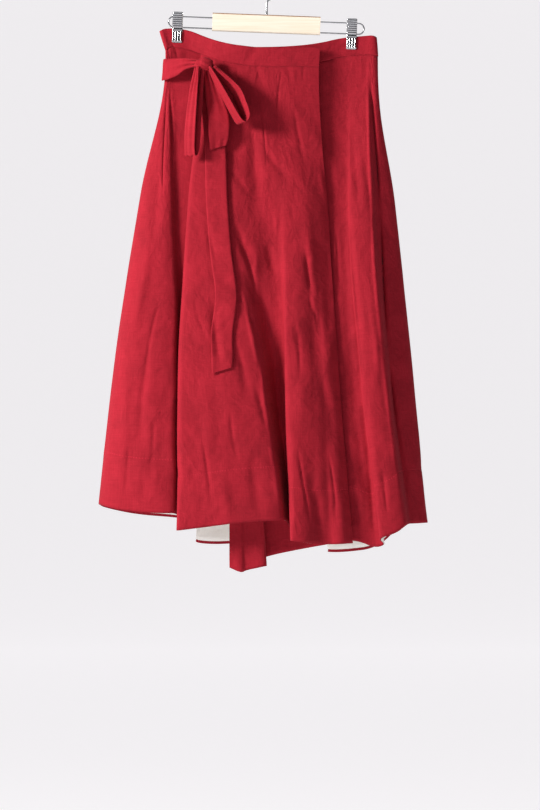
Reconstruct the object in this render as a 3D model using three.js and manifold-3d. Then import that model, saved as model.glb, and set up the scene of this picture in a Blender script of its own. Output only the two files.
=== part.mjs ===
// Lined linen wrap skirt, clipped by its waistband to a wooden skirt hanger.
// Millimetres, +Z up, the front faces -Y. The origin is where the hook rests on a rail.

import * as THREE from 'three';
import { mergeVertices } from 'three/addons/utils/BufferGeometryUtils.js';
import Module from 'manifold-3d';

// ---- driving dimensions ----

const clothWall = 1.2;          // red outer linen
const liningWall = 1.0;         // cream lining linen
const seamGap = 0.3;            // between pieces that are sewn or pressed together
const seamSag = 0.35;           // extra under the band, where flat facets cut across its curve
const bandHeight = 33;          // waistband, rim to seam
const drops = [0, 0.3, 0.65, 1];                          // waist, hip, knee and hem down a panel
const straightDrop = 0.03;                                // share below the band that hangs straight
const panelRows = [0, 0.1, 0.24, 0.42, 0.62, 0.82, 1];
const stepsPerFold = 2;
const stepsPerBandRow = 3;
const rulerStepsPerBandRow = 8;
const tieWall = 2.4;            // tie of doubled linen
const tieWidth = 38;            // the stations below give shares of it

const clothOffset = -3.5;       // sideways, so that the tilted hanger's clips meet the band
const hangerTilt = THREE.MathUtils.degToRad(2.2);
const barLength = 190;
const barHeight = 32;
const barDepth = 14;
const barRounding = 3;
const barTop = -61;
const wireRadius = 1.3;
const wireReach = 172;          // outer end of each bent wire from the middle
const wireTop = -70;
const wireSpacing = 19;
const wireSeat = 25;            // length of wire inside the bar
const hookRadius = 1.8;
const hookSeat = 12;            // length of hook wire inside the bar
const hookBend = 16;            // inner radius over the rail
const hookNeck = 22;            // straight stem above the bar
const hookStart = -60;          // turn in degrees where the stem joins the bend
const hookEnd = 190;
const clipLeftX = -156;         // clip centres from the hanger's middle
const clipRightX = 150.5;
const clipWidth = 18;
const springWidth = 14;
const clipTop = -62;
const clipFoot = -116;
const clipNip = -93;            // where the jaws stop touching the cloth
const jawWall = 1.3;
const jawGap = 3.25;            // inner face of a jaw from the middle plane
const jawFlare = 4.9;           // extra gap at the finger end

// ---- waistband: one row for each place along it ----
// rimX, rimY: top edge in plan. seamX, seamY: lower edge in plan. rimZ: height of the top edge.

const bandColumns = ['rimX', 'rimY', 'seamX', 'seamY', 'rimZ'];
const bandOver = rowsOf(bandColumns, [
  [95, -20, 93, -22, -120],
  [60, -24, 60, -26, -119],
  [7, -27, 7, -28, -121],
  [-45, -27, -45, -28, -117],
  [-80, -22, -80, -25, -110],
  [-108, -11, -108, -15, -100],
  [-132, -1.5, -132, -2, -89],
  [-156, -1.5, -156, -1.5, -85],
  [-178, -1.5, -168, -1.5, -85],
  [-184, -4, -173, -5, -88],
]);
const bandLeftSeam = rowsOf(bandColumns, [[-187, 0, -177, 0, -90]]);
const bandBack = rowsOf(bandColumns, [
  [-184, 4, -173, 5, -88],
  [-178, 1.5, -168, 1.5, -85],
  [-156, 1.5, -156, 1.5, -85],
  [-132, 1.5, -132, 2, -89],
  [-106, 10, -106, 14, -103],
  [-60, 18, -60, 19, -114],
  [0, 20, 0, 20, -120],
  [60, 18, 60, 19, -117],
  [100, 10, 100, 13, -109],
  [126, 1.5, 126, 2, -103],
  [150, 1.5, 150, 1.5, -100],
  [175, 1.5, 174, 1.5, -98],
  [189, 4.5, 190, 5, -97],
]);
const bandRightSeam = rowsOf(bandColumns, [[195, 0, 198, 0, -102]]);
const bandUnder = rowsOf(bandColumns, [
  [189, -4.5, 190, -5, -97],
  [175, -1.5, 174, -1.5, -98],
  [150, -1.5, 150, -1.5, -100],
  [126, -1.5, 126, -2, -103],
  [100, -7, 100, -10, -110],
  [60, -13, 60, -14, -116],
  [0, -15, 0, -16, -119],
  [-49, -15, -49, -16, -117],
]);

// ---- panels: one row for each fold, from the free over edge round to the free under edge ----
// along: place on the band's seam line, in mm from its over end. inset: how far a pleat lies behind it.
// hip, knee, hem: plan position of the fold there. hemZ: height of the hem. soft: 0 sharp to 1 round.

const foldColumns = ['along', 'inset', 'hipX', 'hipY', 'kneeX', 'kneeY', 'hemX', 'hemY', 'hemZ', 'soft'];
const foldsOver = rowsOf(foldColumns, [
  [0, 0, 108, -29, 128, -37, 150, -39, -989, 1],        // free over edge
  [21, 0, 94, -38, 112, -50, 131, -57, -990, 1],        // ridge beside it
  [43, 0, 75, -41, 93, -43, 102, -45, -991, 1],         // shallow valley
  [62, 0, 56, -47, 68, -61, 70, -72, -988, 1],          // broad ridge
  [76, 0, 33, -48, 33, -62, 40, -74, -984, 0.5],        // edge over the deep valley
  [83, 0, 21, -45, 42, -42, 54, -42, -976, 0.8],        // valley, tucked under that edge
  [90, 0, 7, -44, 28, -34, 42, -32, -964, 0.9],         // valley floor
  [99, 0, -7, -45, 5, -43, 34, -42, -948, 0.9],        // far wall of the valley
  [111, 0, -24, -47, -8, -62, 25, -72, -948, 0.7],        // front panel, turning in
  [137, 0, -54, -49, -60, -65, -48, -76, -952, 1],      // front panel, middle
  [170, 0, -86, -49, -100, -64, -98, -75, -959, 1],     // front panel, left
  [191, 0, -111, -48, -127, -63, -130, -74, -963, 1],
  [210, 0, -133, -45, -149, -60, -154, -71, -966, 0.5], // pleat edge, front
  [215, 4, -138, -40, -153, -55, -157, -65, -966, 0.8], // pleat edge, back
  [209, 6, -132, -35, -146, -49, -150, -58, -964, 0.8],
  [200, 7, -107, -34, -107, -47, -107, -55, -955, 1],   // inside of the pleat
  [197, 11, -98, -29, -98, -41, -98, -48, -950, 1],     // inner fold of the pleat
  [207, 12, -119, -24, -133, -36, -140, -42, -945, 1],
  [243, 0, -147, -22, -149, -35, -154, -42, -940, 1],   // pleat floor that shows
  [257, 0, -158, -22, -153, -38, -158, -45, -938, 1],
  [264, 0, -163, -26, -155, -45, -160, -53, -937, 0.8],
  [268, 0, -168, -32, -158.5, -50, -165, -60, -936, 0.7], // edge of the side panel
  [271, 0, -179, -35, -186, -54, -194, -63, -936, 1],
  [273, 0, -196, -31, -224, -47, -234, -53, -933, 1],   // side panel, middle
  [276, 0, -212, -22, -247, -36, -270, -41, -927, 1],
  [279, 0, -221, -8, -261, -12, -291, -15, -921, 1],    // left outline
]);
const foldLeftSeam = rowsOf(foldColumns, [[281, 0, -221, 8, -261, 12, -290, 14, -922, 1]]);
const foldsBack = rowsOf(foldColumns, [
  [285, 0, -217, 18, -256, 30, -283, 36, -928, 1],
  [296, 0, -186, 32, -212, 48, -229, 57, -941, 1],
  [315, 0, -142, 36, -154, 44, -165, 44, -945, 1],      // ridge that the front sees from inside
  [336, 0, -114, 41, -98, 62, -88, 74, -955, 1],        // deep side of the first back fold
  [348, 0, -108, 39, -90, 58, -77, 67, -964, 1],
  [362, 0, -101, 36, -104, 48, -119, 52, -981, 1],
  [369, 0, -95, 34, -110, 41, -126, 44, -990, 0.8],     // first back fold
  [380, 0, -90, 33, -95, 40, -95, 39, -993, 1],
  [394, 0, -70, 36, -66, 48, -60, 50, -992, 1],
  [430, 0, -28, 42, -25, 62, -18, 74, -988, 1],         // outer ridge
  [455, 0, 1, 40, 7, 56, 14, 62, -987, 1],
  [482, 0, 30, 38, 38, 50, 45, 52, -987, 1],            // inner ridge
  [524, 0, 82, 44, 112, 66, 133, 80, -988, 1],          // deep side of the second back fold
  [535, 0, 90, 42, 124, 61, 143, 72, -993, 0.9],
  [546, 0, 95, 38, 113, 50, 113, 55, -1004, 0.9],
  [553, 0, 100, 35, 107, 44, 106, 46, -1007, 0.8],      // second back fold
  [567, 0, 112, 33, 128, 42, 138, 41, -1007, 1],
  [600, 0, 157, 30, 178, 46, 198, 51, -1000, 1],
  [627, 0, 190, 26, 217, 44, 239, 54, -956, 1],
  [656, 0, 219, 15, 249, 26, 278, 30, -951, 1],
]);
const foldRightSeam = rowsOf(foldColumns, [[669, 0, 227, 5, 255, 8, 285, 10, -954, 1]]);
const foldsUnder = rowsOf(foldColumns, [
  [672, 0, 225, -6, 253, -3, 283, -3, -954, 1],      // right outline
  [677, 0, 211, -13, 235, -14, 265, -13, -955, 1],      // shaded side
  [682, 0, 193, -17, 217, -25, 251, -24, -955, 0.8],    // valley
  [686, 0, 185, -27, 208, -41, 245, -41, -957, 0.6],    // edge beside the valley
  [695, 0, 175, -28, 192, -44, 228, -48, -971, 1],      // ridge
  [718, 0, 147, -26, 164, -42, 195, -45, -981, 0.9],
  [723, 0, 145, -22, 168, -35, 209, -36, -991, 0.9],    // lapped fold at the hem
  [728, 0, 138, -19, 154, -28, 191, -28, -998, 1],
  [746, 0, 122, -21, 138, -31, 161, -32, -985, 1],      // panel beside the over edge
  [767, 0, 103, -23, 116, -29, 138, -28, -985, 1],
  [798, 0, 77, -24, 77, -24, 98, -18, -993, 1],
  [829, 0, 42, -25, 38, -17, 60, -10, -1000, 1],
  [853, 0, 11, -26, -2, -16, 10, -8, -1010, 1],
  [865, 0, -7, -26, -17, -15, -15, -6, -1018, 0.9],     // inner fold
  [872, 0, -14, -26, -20, -20, -14, -14, -1022, 0.9],
  [877, 0, -21, -26, -19, -26, -1, -20, -1029, 0.8],    // front fold
  [884, 0, -28, -27, -24, -30, -5, -27, -1030, 0.9],
  [898, 0, -49, -26, -45, -25, -37, -21, -1037, 0.9],   // crease
  [905, 0, -59, -27, -52, -29, -45, -27, -1041, 0.8],
  [917, 0, -73, -26, -68, -28, -64, -25, -1032, 1],     // free under edge
]);

// ---- tie: one row for each place along it ----
// x, y, z: middle of the tie. acrossX, acrossY, acrossZ: direction over its width. width: there.

const tieColumns = ['x', 'y', 'z', 'acrossX', 'acrossY', 'acrossZ', 'width'];
const beltStations = rowsOf(tieColumns, [
  [-180.6, -2, -158, 0.06, 0, 1, 1],
  [-179.4, -8, -158, 0.06, 0, 1, 1],
  [-172, -14, -157, 0, 0, 1, 0.95],
  [-156, -20, -154, 0, 0, 1, 0.8],
  [-139, -29, -149, 0, 0, 1, 0.5],
  [-118, -42, -148, 0, 0, 1, 0.3],
]);
const loopLeftStations = rowsOf(tieColumns, [
  [-119, -48, -156, 0.6, -0.78, 0.2, 0.3],
  [-126, -55, -200, 0.68, -0.73, 0, 0.58],
  [-132, -60, -250, 0.7, -0.71, 0, 0.68],
  [-134, -62, -296, 0.7, -0.71, 0, 0.7],
  [-132, -60, -311, 0.7, -0.71, 0, 0.7],
  [-127, -57, -298, 0.7, -0.71, 0, 0.7],
  [-124, -54, -250, 0.7, -0.71, 0, 0.68],
  [-118, -49, -200, 0.68, -0.73, 0, 0.56],
  [-112, -45, -158, 0.6, -0.78, 0.2, 0.3],
]);
const loopRightStations = rowsOf(tieColumns, [
  [-98, -51, -155, 0.3, -0.93, 0.2, 0.3],
  [-84, -59, -184, 0.3, -0.93, 0.2, 0.62],
  [-70, -63, -212, 0.3, -0.93, 0.15, 0.76],
  [-55, -64, -240, 0.35, -0.92, 0.1, 0.8],
  [-44, -64, -254, 0.45, -0.88, 0.1, 0.8],
  [-38, -63, -244, 0.52, -0.83, 0.2, 0.8],
  [-44, -62, -222, 0.56, -0.76, 0.3, 0.78],
  [-56, -58, -194, 0.6, -0.7, 0.36, 0.66],
  [-93, -50, -156, 0.7, -0.6, 0.4, 0.34],
]);
const tailShortStations = rowsOf(tieColumns, [
  [-104, -42, -154, 1, -0.1, 0, 0.3],
  [-92, -44, -205, 1, -0.1, 0, 0.74],
  [-84, -50, -240, 1, 0, 0, 0.95],
  [-83, -53, -272, 1, 0.1, 0, 0.95],
  [-84, -52, -297, 1, 0.1, 0.3, 0.8],
]);
const tailLongStations = rowsOf(tieColumns, [
  [-110, -38, -156, 1, 0, 0, 0.3],
  [-100, -36, -215, 1, 0, 0, 0.75],
  [-90, -47, -290, 1, 0, 0, 0.95],
  [-87, -55.5, -388, 1, 0, 0, 1],
  [-80, -60, -476, 1, 0, 0, 1],
  [-70, -63, -555, 1, 0, 0, 1],
  [-76, -66, -620, 1, 0, 0, 1],
  [-75, -69, -660, 1, 0.05, 0, 1],
  [-76, -70, -687, 1, 0, 0.3, 0.98],
]);
const knotCentre = [-108, -44, -151];
const knotRadii = [17, 9, 13];

// ---- colours ----

const redLinen = new THREE.MeshStandardMaterial({ color: 0xa8202f, roughness: 0.85, metalness: 0 });
const creamLinen = new THREE.MeshStandardMaterial({ color: 0xe9dfd2, roughness: 0.88, metalness: 0 });
const paleWood = new THREE.MeshStandardMaterial({ color: 0xe6cfae, roughness: 0.5, metalness: 0 });
const chrome = new THREE.MeshStandardMaterial({ color: 0xb9bcc0, roughness: 0.2, metalness: 1 });

const wasm = await Module();
wasm.setup();

const hungSkirt = new THREE.Group();
const cloth = new THREE.Group();
cloth.position.x = clothOffset;
const hanger = new THREE.Group();
hanger.rotation.y = hangerTilt;
hungSkirt.add(cloth, hanger);

// ---- helpers ----

function rowsOf(columns, rows) {
  return rows.map((row) => Object.fromEntries(columns.map((column, i) => [column, row[i]])));
}

function addPiece(parent, name, geometry, material) {
  const mesh = new THREE.Mesh(geometry, material.clone());
  mesh.name = name;
  parent.add(mesh);
  return mesh;
}

// Solid of a closed geometry for cutting and joining.
function solidOf(geometry) {
  const bare = geometry.clone();
  bare.deleteAttribute('normal');
  bare.deleteAttribute('uv');
  const merged = mergeVertices(bare, 1e-4);
  return new wasm.Manifold(new wasm.Mesh({
    numProp: 3,
    vertProperties: merged.attributes.position.array,
    triVerts: new Uint32Array(merged.index.array),
  }));
}

function geometryOf(solid) {
  const mesh = solid.getMesh();
  const geometry = new THREE.BufferGeometry();
  geometry.setAttribute('position', new THREE.BufferAttribute(mesh.vertProperties, 3));
  geometry.setIndex(new THREE.BufferAttribute(mesh.triVerts, 1));
  geometry.computeVertexNormals();
  return geometry;
}

// Value at t on a smooth curve through (knots, values) that never overshoots and leaves the first knot level.
function smoothThrough(knots, values, t) {
  const chords = values.slice(1).map((value, i) => (value - values[i]) / (knots[i + 1] - knots[i]));
  const slopes = values.map((value, i) => {
    if (i === 0) return 0;
    if (i === chords.length) return chords[i - 1];
    const before = chords[i - 1];
    const after = chords[i];
    return before * after <= 0 ? 0 : (2 * before * after) / (before + after);
  });
  let i = 0;
  while (i < knots.length - 2 && t > knots[i + 1]) i += 1;
  const span = knots[i + 1] - knots[i];
  const s = (t - knots[i]) / span;
  const ease = s * s * (3 - 2 * s);
  return values[i] + (values[i + 1] - values[i]) * ease
    + span * slopes[i] * s * (1 - s) * (1 - s)
    - span * slopes[i + 1] * s * s * (1 - s);
}

// Point at place u on a polygon of corners, each corner rounded by its softness.
function roundedPoint(corners, softness, u) {
  const last = corners.length - 1;
  const i = Math.min(last, Math.max(0, Math.round(u)));
  const w = u - i;
  const toward = corners[Math.min(last, Math.max(0, w < 0 ? i - 1 : i + 1))];
  const soft = i === 0 || i === last ? 0 : softness[i];
  if (Math.abs(w) >= soft / 2) return corners[i].clone().lerp(toward, Math.abs(w));
  const start = corners[i].clone().lerp(corners[i - 1], soft / 2);
  const end = corners[i].clone().lerp(corners[i + 1], soft / 2);
  const s = w / soft + 0.5;
  return start.multiplyScalar((1 - s) * (1 - s))
    .addScaledVector(corners[i], 2 * s * (1 - s))
    .addScaledVector(end, s * s);
}

// Outward directions down the column at place u, from the columns just beside it.
function columnNormals(columnAt, u) {
  const step = 0.04;
  const before = columnAt(u - step);
  const after = columnAt(u + step);
  const column = columnAt(u);
  const last = column.length - 1;
  return column.map((point, j) => {
    const along = after[j].clone().sub(before[j]);
    const down = column[Math.min(last, j + 1)].clone().sub(column[Math.max(0, j - 1)]);
    return along.cross(down).normalize();
  });
}

// Closed wall between two faces made by moving a grid of points along their normals.
function wallGeometry(grid, normals, fromFace, toFace) {
  const columns = grid.length;
  const rows = grid[0].length;
  const positions = [];
  const indices = [];
  for (const offset of [toFace, fromFace]) {
    for (let i = 0; i < columns; i += 1) {
      for (let j = 0; j < rows; j += 1) {
        const point = grid[i][j].clone().addScaledVector(normals[i][j], offset);
        positions.push(point.x, point.y, point.z);
      }
    }
  }
  const at = (side, i, j) => side * columns * rows + i * rows + j;
  const quad = (a, b, c, d) => indices.push(a, b, c, a, c, d);
  for (let i = 0; i < columns - 1; i += 1) {
    for (let j = 0; j < rows - 1; j += 1) {
      quad(at(0, i, j), at(0, i + 1, j), at(0, i + 1, j + 1), at(0, i, j + 1));
      quad(at(1, i, j), at(1, i, j + 1), at(1, i + 1, j + 1), at(1, i + 1, j));
    }
    quad(at(1, i, 0), at(1, i + 1, 0), at(0, i + 1, 0), at(0, i, 0));
    quad(at(0, i, rows - 1), at(0, i + 1, rows - 1), at(1, i + 1, rows - 1), at(1, i, rows - 1));
  }
  for (let j = 0; j < rows - 1; j += 1) {
    quad(at(1, 0, j), at(0, 0, j), at(0, 0, j + 1), at(1, 0, j + 1));
    quad(at(0, columns - 1, j), at(1, columns - 1, j), at(1, columns - 1, j + 1), at(0, columns - 1, j + 1));
  }
  const geometry = new THREE.BufferGeometry();
  geometry.setAttribute('position', new THREE.Float32BufferAttribute(positions, 3));
  geometry.setIndex(indices);
  geometry.computeVertexNormals();
  return geometry;
}

// Places from first to last corner, pulled in by half a seam gap at each end.
function cornerPlaces(columnAt, first, last, steps) {
  const places = [];
  for (let k = first * steps; k <= last * steps; k += 1) places.push(k / steps);
  const trim = (from, to) => {
    const spans = columnAt(from).map((point, j) => point.distanceTo(columnAt(to)[j]));
    return from + (to - from) * (seamGap / 2) / Math.min(...spans);
  };
  places[0] = trim(first, first + 0.1);
  places[places.length - 1] = trim(last, last - 0.1);
  return places;
}

// Red outer wall and cream lining wall of one sewn piece.
function addClothPiece(outerName, innerName, columnAt, places) {
  const grid = places.map(columnAt);
  const normals = places.map((u) => columnNormals(columnAt, u));
  const face = seamGap / 2;
  addPiece(cloth, outerName, wallGeometry(grid, normals, face, face + clothWall), redLinen);
  addPiece(cloth, innerName, wallGeometry(grid, normals, -face - liningWall, -face), creamLinen);
}

// ---- waistband ----

const bandRows = [...bandOver, ...bandLeftSeam, ...bandBack, ...bandRightSeam, ...bandUnder];
const bandSoftness = bandRows.map(() => 1);
const rimLine = bandRows.map((row) => new THREE.Vector3(row.rimX, row.rimY, row.rimZ));
const seamLine = bandRows.map((row) => new THREE.Vector3(row.seamX, row.seamY, row.rimZ - bandHeight));

function bandColumn(u) {
  return [roundedPoint(rimLine, bandSoftness, u), roundedPoint(seamLine, bandSoftness, u)];
}

function addBand(name, first, last) {
  const places = cornerPlaces(bandColumn, first, last, stepsPerBandRow);
  addClothPiece(`waistband${name}`, `bandLining${name}`, bandColumn, places);
}

const bandLeftAt = bandOver.length;
const bandRightAt = bandLeftAt + bandBack.length + 1;
addBand('Over', 0, bandLeftAt);
addBand('Back', bandLeftAt, bandRightAt);
addBand('Under', bandRightAt, bandRows.length - 1);

// Points along the band's seam line, with the distance from its over end.
const seamRuler = [];
for (let k = 0; k <= (bandRows.length - 1) * rulerStepsPerBandRow; k += 1) {
  const point = roundedPoint(seamLine, bandSoftness, k / rulerStepsPerBandRow);
  const before = seamRuler[k - 1];
  seamRuler.push({ point, distance: before ? before.distance + before.point.distanceTo(point) : 0 });
}

// Point on the seam line at a distance along it, set back behind it by inset.
function seamPoint(distance, inset) {
  let k = 1;
  while (k < seamRuler.length - 1 && seamRuler[k].distance < distance) k += 1;
  const from = seamRuler[k - 1];
  const to = seamRuler[k];
  const point = from.point.clone().lerp(to.point, (distance - from.distance) / (to.distance - from.distance));
  const along = to.point.clone().sub(from.point).setZ(0).normalize();
  return point.add(new THREE.Vector3(along.y, -along.x, 0).multiplyScalar(inset));
}

// ---- panels ----

const foldRows = [...foldsOver, ...foldLeftSeam, ...foldsBack, ...foldRightSeam, ...foldsUnder];
const foldSoftness = foldRows.map((row) => row.soft);
const foldTops = foldRows.map((row) => seamPoint(row.along, row.inset));

// Corner of each fold at one drop: 0 at the waist seam, 1 at the hem.
function foldCorners(drop) {
  const spread = Math.max(0, drop - straightDrop) / (1 - straightDrop);
  return foldRows.map((row, i) => {
    const top = foldTops[i];
    const x = smoothThrough(drops, [top.x, row.hipX, row.kneeX, row.hemX], spread);
    const y = smoothThrough(drops, [top.y, row.hipY, row.kneeY, row.hemY], spread);
    const z = THREE.MathUtils.lerp(top.z - seamGap - seamSag, row.hemZ, drop);
    return new THREE.Vector3(x, y, z);
  });
}

const cornersByRow = panelRows.map(foldCorners);

function panelColumn(u) {
  return cornersByRow.map((corners) => roundedPoint(corners, foldSoftness, u));
}

function addPanel(name, first, last) {
  const places = cornerPlaces(panelColumn, first, last, stepsPerFold);
  addClothPiece(`panel${name}`, `lining${name}`, panelColumn, places);
}

const leftSeamAt = foldsOver.length;
const rightSeamAt = leftSeamAt + foldsBack.length + 1;
addPanel('FrontOver', 0, leftSeamAt);
addPanel('Back', leftSeamAt, rightSeamAt);
addPanel('FrontUnder', rightSeamAt, foldRows.length - 1);

// ---- tie ----

// Flat strip of doubled linen along a smooth line through its stations.
function stripGeometry(stations, steps) {
  const middle = new THREE.CatmullRomCurve3(stations.map((row) => new THREE.Vector3(row.x, row.y, row.z)));
  const across = new THREE.CatmullRomCurve3(
    stations.map((row) => new THREE.Vector3(row.acrossX, row.acrossY, row.acrossZ)
      .normalize().multiplyScalar(row.width * tieWidth / 2)),
  );
  const grid = [];
  const normals = [];
  for (let k = 0; k <= steps; k += 1) {
    const point = middle.getPoint(k / steps);
    const half = across.getPoint(k / steps);
    const normal = middle.getTangent(k / steps).cross(half).normalize();
    grid.push([point.clone().add(half), point.clone().sub(half)]);
    normals.push([normal, normal]);
  }
  return wallGeometry(grid, normals, tieWall / 2, -tieWall / 2);
}

function knotGeometry(spare) {
  const knot = new THREE.SphereGeometry(1, 14, 9);
  knot.scale(...knotRadii.map((radius) => radius + spare));
  knot.translate(...knotCentre);
  return knot;
}

function addTie() {
  const knotSpace = solidOf(knotGeometry(seamGap));
  const strips = {
    tieBelt: stripGeometry(beltStations, 10),
    tieLoopLeft: stripGeometry(loopLeftStations, 18),
    tieLoopRight: stripGeometry(loopRightStations, 18),
    tieTailShort: stripGeometry(tailShortStations, 7),
    tieTailLong: stripGeometry(tailLongStations, 14),
  };
  addPiece(cloth, 'tieKnot', knotGeometry(0), redLinen);
  for (const [name, strip] of Object.entries(strips)) {
    addPiece(cloth, name, geometryOf(solidOf(strip).subtract(knotSpace)), redLinen);
  }
}

addTie();

// ---- hanger ----

function discShape(radius, sides) {
  const points = [];
  for (let k = 0; k < sides; k += 1) {
    const turn = (k / sides) * Math.PI * 2;
    points.push(new THREE.Vector2(Math.cos(turn) * radius, Math.sin(turn) * radius));
  }
  return new THREE.Shape(points);
}

function rodAlong(path, radius, sides, steps) {
  return new THREE.ExtrudeGeometry(discShape(radius, sides), { steps, extrudePath: path });
}

// Wire bent round at its outer end, with both arms seated in the bar.
function bentWirePath(side) {
  const bend = wireSpacing / 2;
  const innerX = barLength / 2 - wireSeat;
  const outerX = wireReach - bend;
  const middleZ = wireTop - bend;
  const path = new THREE.CurvePath();
  const bendPoints = [];
  for (let k = 0; k <= 8; k += 1) {
    const turn = Math.PI / 2 - (k / 8) * Math.PI;
    const x = outerX + Math.cos(turn) * bend;
    bendPoints.push(new THREE.Vector3(side * x, 0, middleZ + Math.sin(turn) * bend));
  }
  bendPoints.unshift(new THREE.Vector3(side * innerX, 0, wireTop));
  bendPoints.push(new THREE.Vector3(side * innerX, 0, wireTop - wireSpacing));
  for (let k = 1; k < bendPoints.length; k += 1) {
    path.add(new THREE.LineCurve3(bendPoints[k - 1], bendPoints[k]));
  }
  return path;
}

function addBar() {
  const outline = new THREE.Shape();
  const halfDepth = barDepth / 2;
  const halfHeight = barHeight / 2;
  const cornerX = halfDepth - barRounding;
  const cornerY = halfHeight - barRounding;
  outline.absarc(cornerX, -cornerY, barRounding, -Math.PI / 2, 0, false);
  outline.absarc(cornerX, cornerY, barRounding, 0, Math.PI / 2, false);
  outline.absarc(-cornerX, cornerY, barRounding, Math.PI / 2, Math.PI, false);
  outline.absarc(-cornerX, -cornerY, barRounding, Math.PI, Math.PI * 1.5, false);
  const bar = new THREE.ExtrudeGeometry(outline, { depth: barLength, bevelEnabled: false, curveSegments: 4 });
  bar.rotateX(Math.PI / 2);
  bar.rotateZ(Math.PI / 2);
  bar.translate(-barLength / 2, 0, barTop - halfHeight);
  let solid = solidOf(bar);
  const bore = (radius, length) => new THREE.CylinderGeometry(radius, radius, length, 12);
  for (const side of [-1, 1]) {
    for (const height of [wireTop, wireTop - wireSpacing]) {
      const cut = bore(wireRadius + seamGap, (wireSeat + 1) * 2);
      cut.rotateZ(Math.PI / 2);
      cut.translate(side * barLength / 2, 0, height);
      solid = solid.subtract(solidOf(cut));
    }
  }
  const hookBore = bore(hookRadius + seamGap, hookSeat * 2 + 2);
  hookBore.rotateX(Math.PI / 2);
  hookBore.translate(0, 0, barTop);
  solid = solid.subtract(solidOf(hookBore));
  addPiece(hanger, 'hangerBar', geometryOf(solid), paleWood);
}

// Hook wire: up from the bar, out to one side and over the rail.
function hookPath() {
  const bend = hookBend + hookRadius;
  const centreZ = -hookBend;
  const points = [
    new THREE.Vector3(0, 0, barTop - hookSeat),
    new THREE.Vector3(0, 0, barTop),
    new THREE.Vector3(0, 0, barTop + hookNeck),
  ];
  for (let turn = hookStart; turn <= hookEnd; turn += 20) {
    const angle = THREE.MathUtils.degToRad(turn);
    points.push(new THREE.Vector3(Math.cos(angle) * bend, 0, centreZ + Math.sin(angle) * bend));
  }
  return new THREE.CatmullRomCurve3(points, false, 'centripetal');
}

// Jaw plate: flat on the cloth, flared from the nip up to the finger end.
function jawGeometry(facing) {
  const profile = new THREE.Shape([
    new THREE.Vector2(jawGap, clipFoot),
    new THREE.Vector2(jawGap + jawWall, clipFoot),
    new THREE.Vector2(jawGap + jawWall, clipNip),
    new THREE.Vector2(jawGap + jawWall + jawFlare, clipTop),
    new THREE.Vector2(jawGap + jawFlare, clipTop),
    new THREE.Vector2(jawGap, clipNip),
  ]);
  const jaw = new THREE.ExtrudeGeometry(profile, { depth: clipWidth, bevelEnabled: false });
  jaw.rotateX(Math.PI / 2);
  jaw.rotateZ(Math.PI / 2);
  jaw.translate(-clipWidth / 2, 0, 0);
  if (facing < 0) jaw.rotateZ(Math.PI);
  return jaw;
}

function addClip(name, middleX) {
  const lowerWire = wireTop - wireSpacing;
  const flareAngle = Math.atan2(jawFlare, clipTop - clipNip);
  // The pin stands on the lower wire and touches both flared plates.
  const base = lowerWire + wireRadius + seamGap;
  const gapAtBase = (jawGap + (base - clipNip) * Math.tan(flareAngle)) * Math.cos(flareAngle);
  const radius = (gapAtBase - seamGap) / (1 - Math.sin(flareAngle));
  const pin = new THREE.CylinderGeometry(radius, radius, springWidth, 14);
  pin.rotateZ(Math.PI / 2);
  pin.translate(0, 0, base + radius);
  const parts = {
    JawFront: jawGeometry(-1),
    JawBack: jawGeometry(1),
    Spring: pin,
  };
  for (const [part, geometry] of Object.entries(parts)) {
    const mesh = addPiece(hanger, `clip${name}${part}`, geometry, chrome);
    mesh.position.x = middleX;
  }
}

addBar();
addPiece(hanger, 'hangerHook', rodAlong(hookPath(), hookRadius, 10, 36), chrome);
addPiece(hanger, 'hangerWireLeft', rodAlong(bentWirePath(-1), wireRadius, 8, 40), chrome);
addPiece(hanger, 'hangerWireRight', rodAlong(bentWirePath(1), wireRadius, 8, 40), chrome);
addClip('Left', clipLeftX);
addClip('Right', clipRightX);

export default hungSkirt;
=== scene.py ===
import math

import bmesh
import bpy
import numpy as np
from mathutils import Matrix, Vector


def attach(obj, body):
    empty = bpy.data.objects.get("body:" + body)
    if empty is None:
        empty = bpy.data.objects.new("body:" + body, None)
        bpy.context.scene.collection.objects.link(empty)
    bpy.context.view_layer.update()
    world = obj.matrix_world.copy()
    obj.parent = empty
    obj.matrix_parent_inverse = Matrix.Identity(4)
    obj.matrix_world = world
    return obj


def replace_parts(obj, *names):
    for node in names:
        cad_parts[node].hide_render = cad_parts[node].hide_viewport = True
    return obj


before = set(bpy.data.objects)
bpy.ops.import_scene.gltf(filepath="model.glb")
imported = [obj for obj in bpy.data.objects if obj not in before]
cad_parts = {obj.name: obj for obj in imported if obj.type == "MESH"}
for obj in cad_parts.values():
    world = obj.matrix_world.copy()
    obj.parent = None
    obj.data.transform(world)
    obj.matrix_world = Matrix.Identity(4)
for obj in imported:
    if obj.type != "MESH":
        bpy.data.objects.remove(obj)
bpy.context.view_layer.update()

# Lined linen wrap skirt on a clip hanger. Cloth and hanger sizes are in millimetres, the scene in metres.
mm = 0.001
body = "root"

# ---- stage ----

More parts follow.
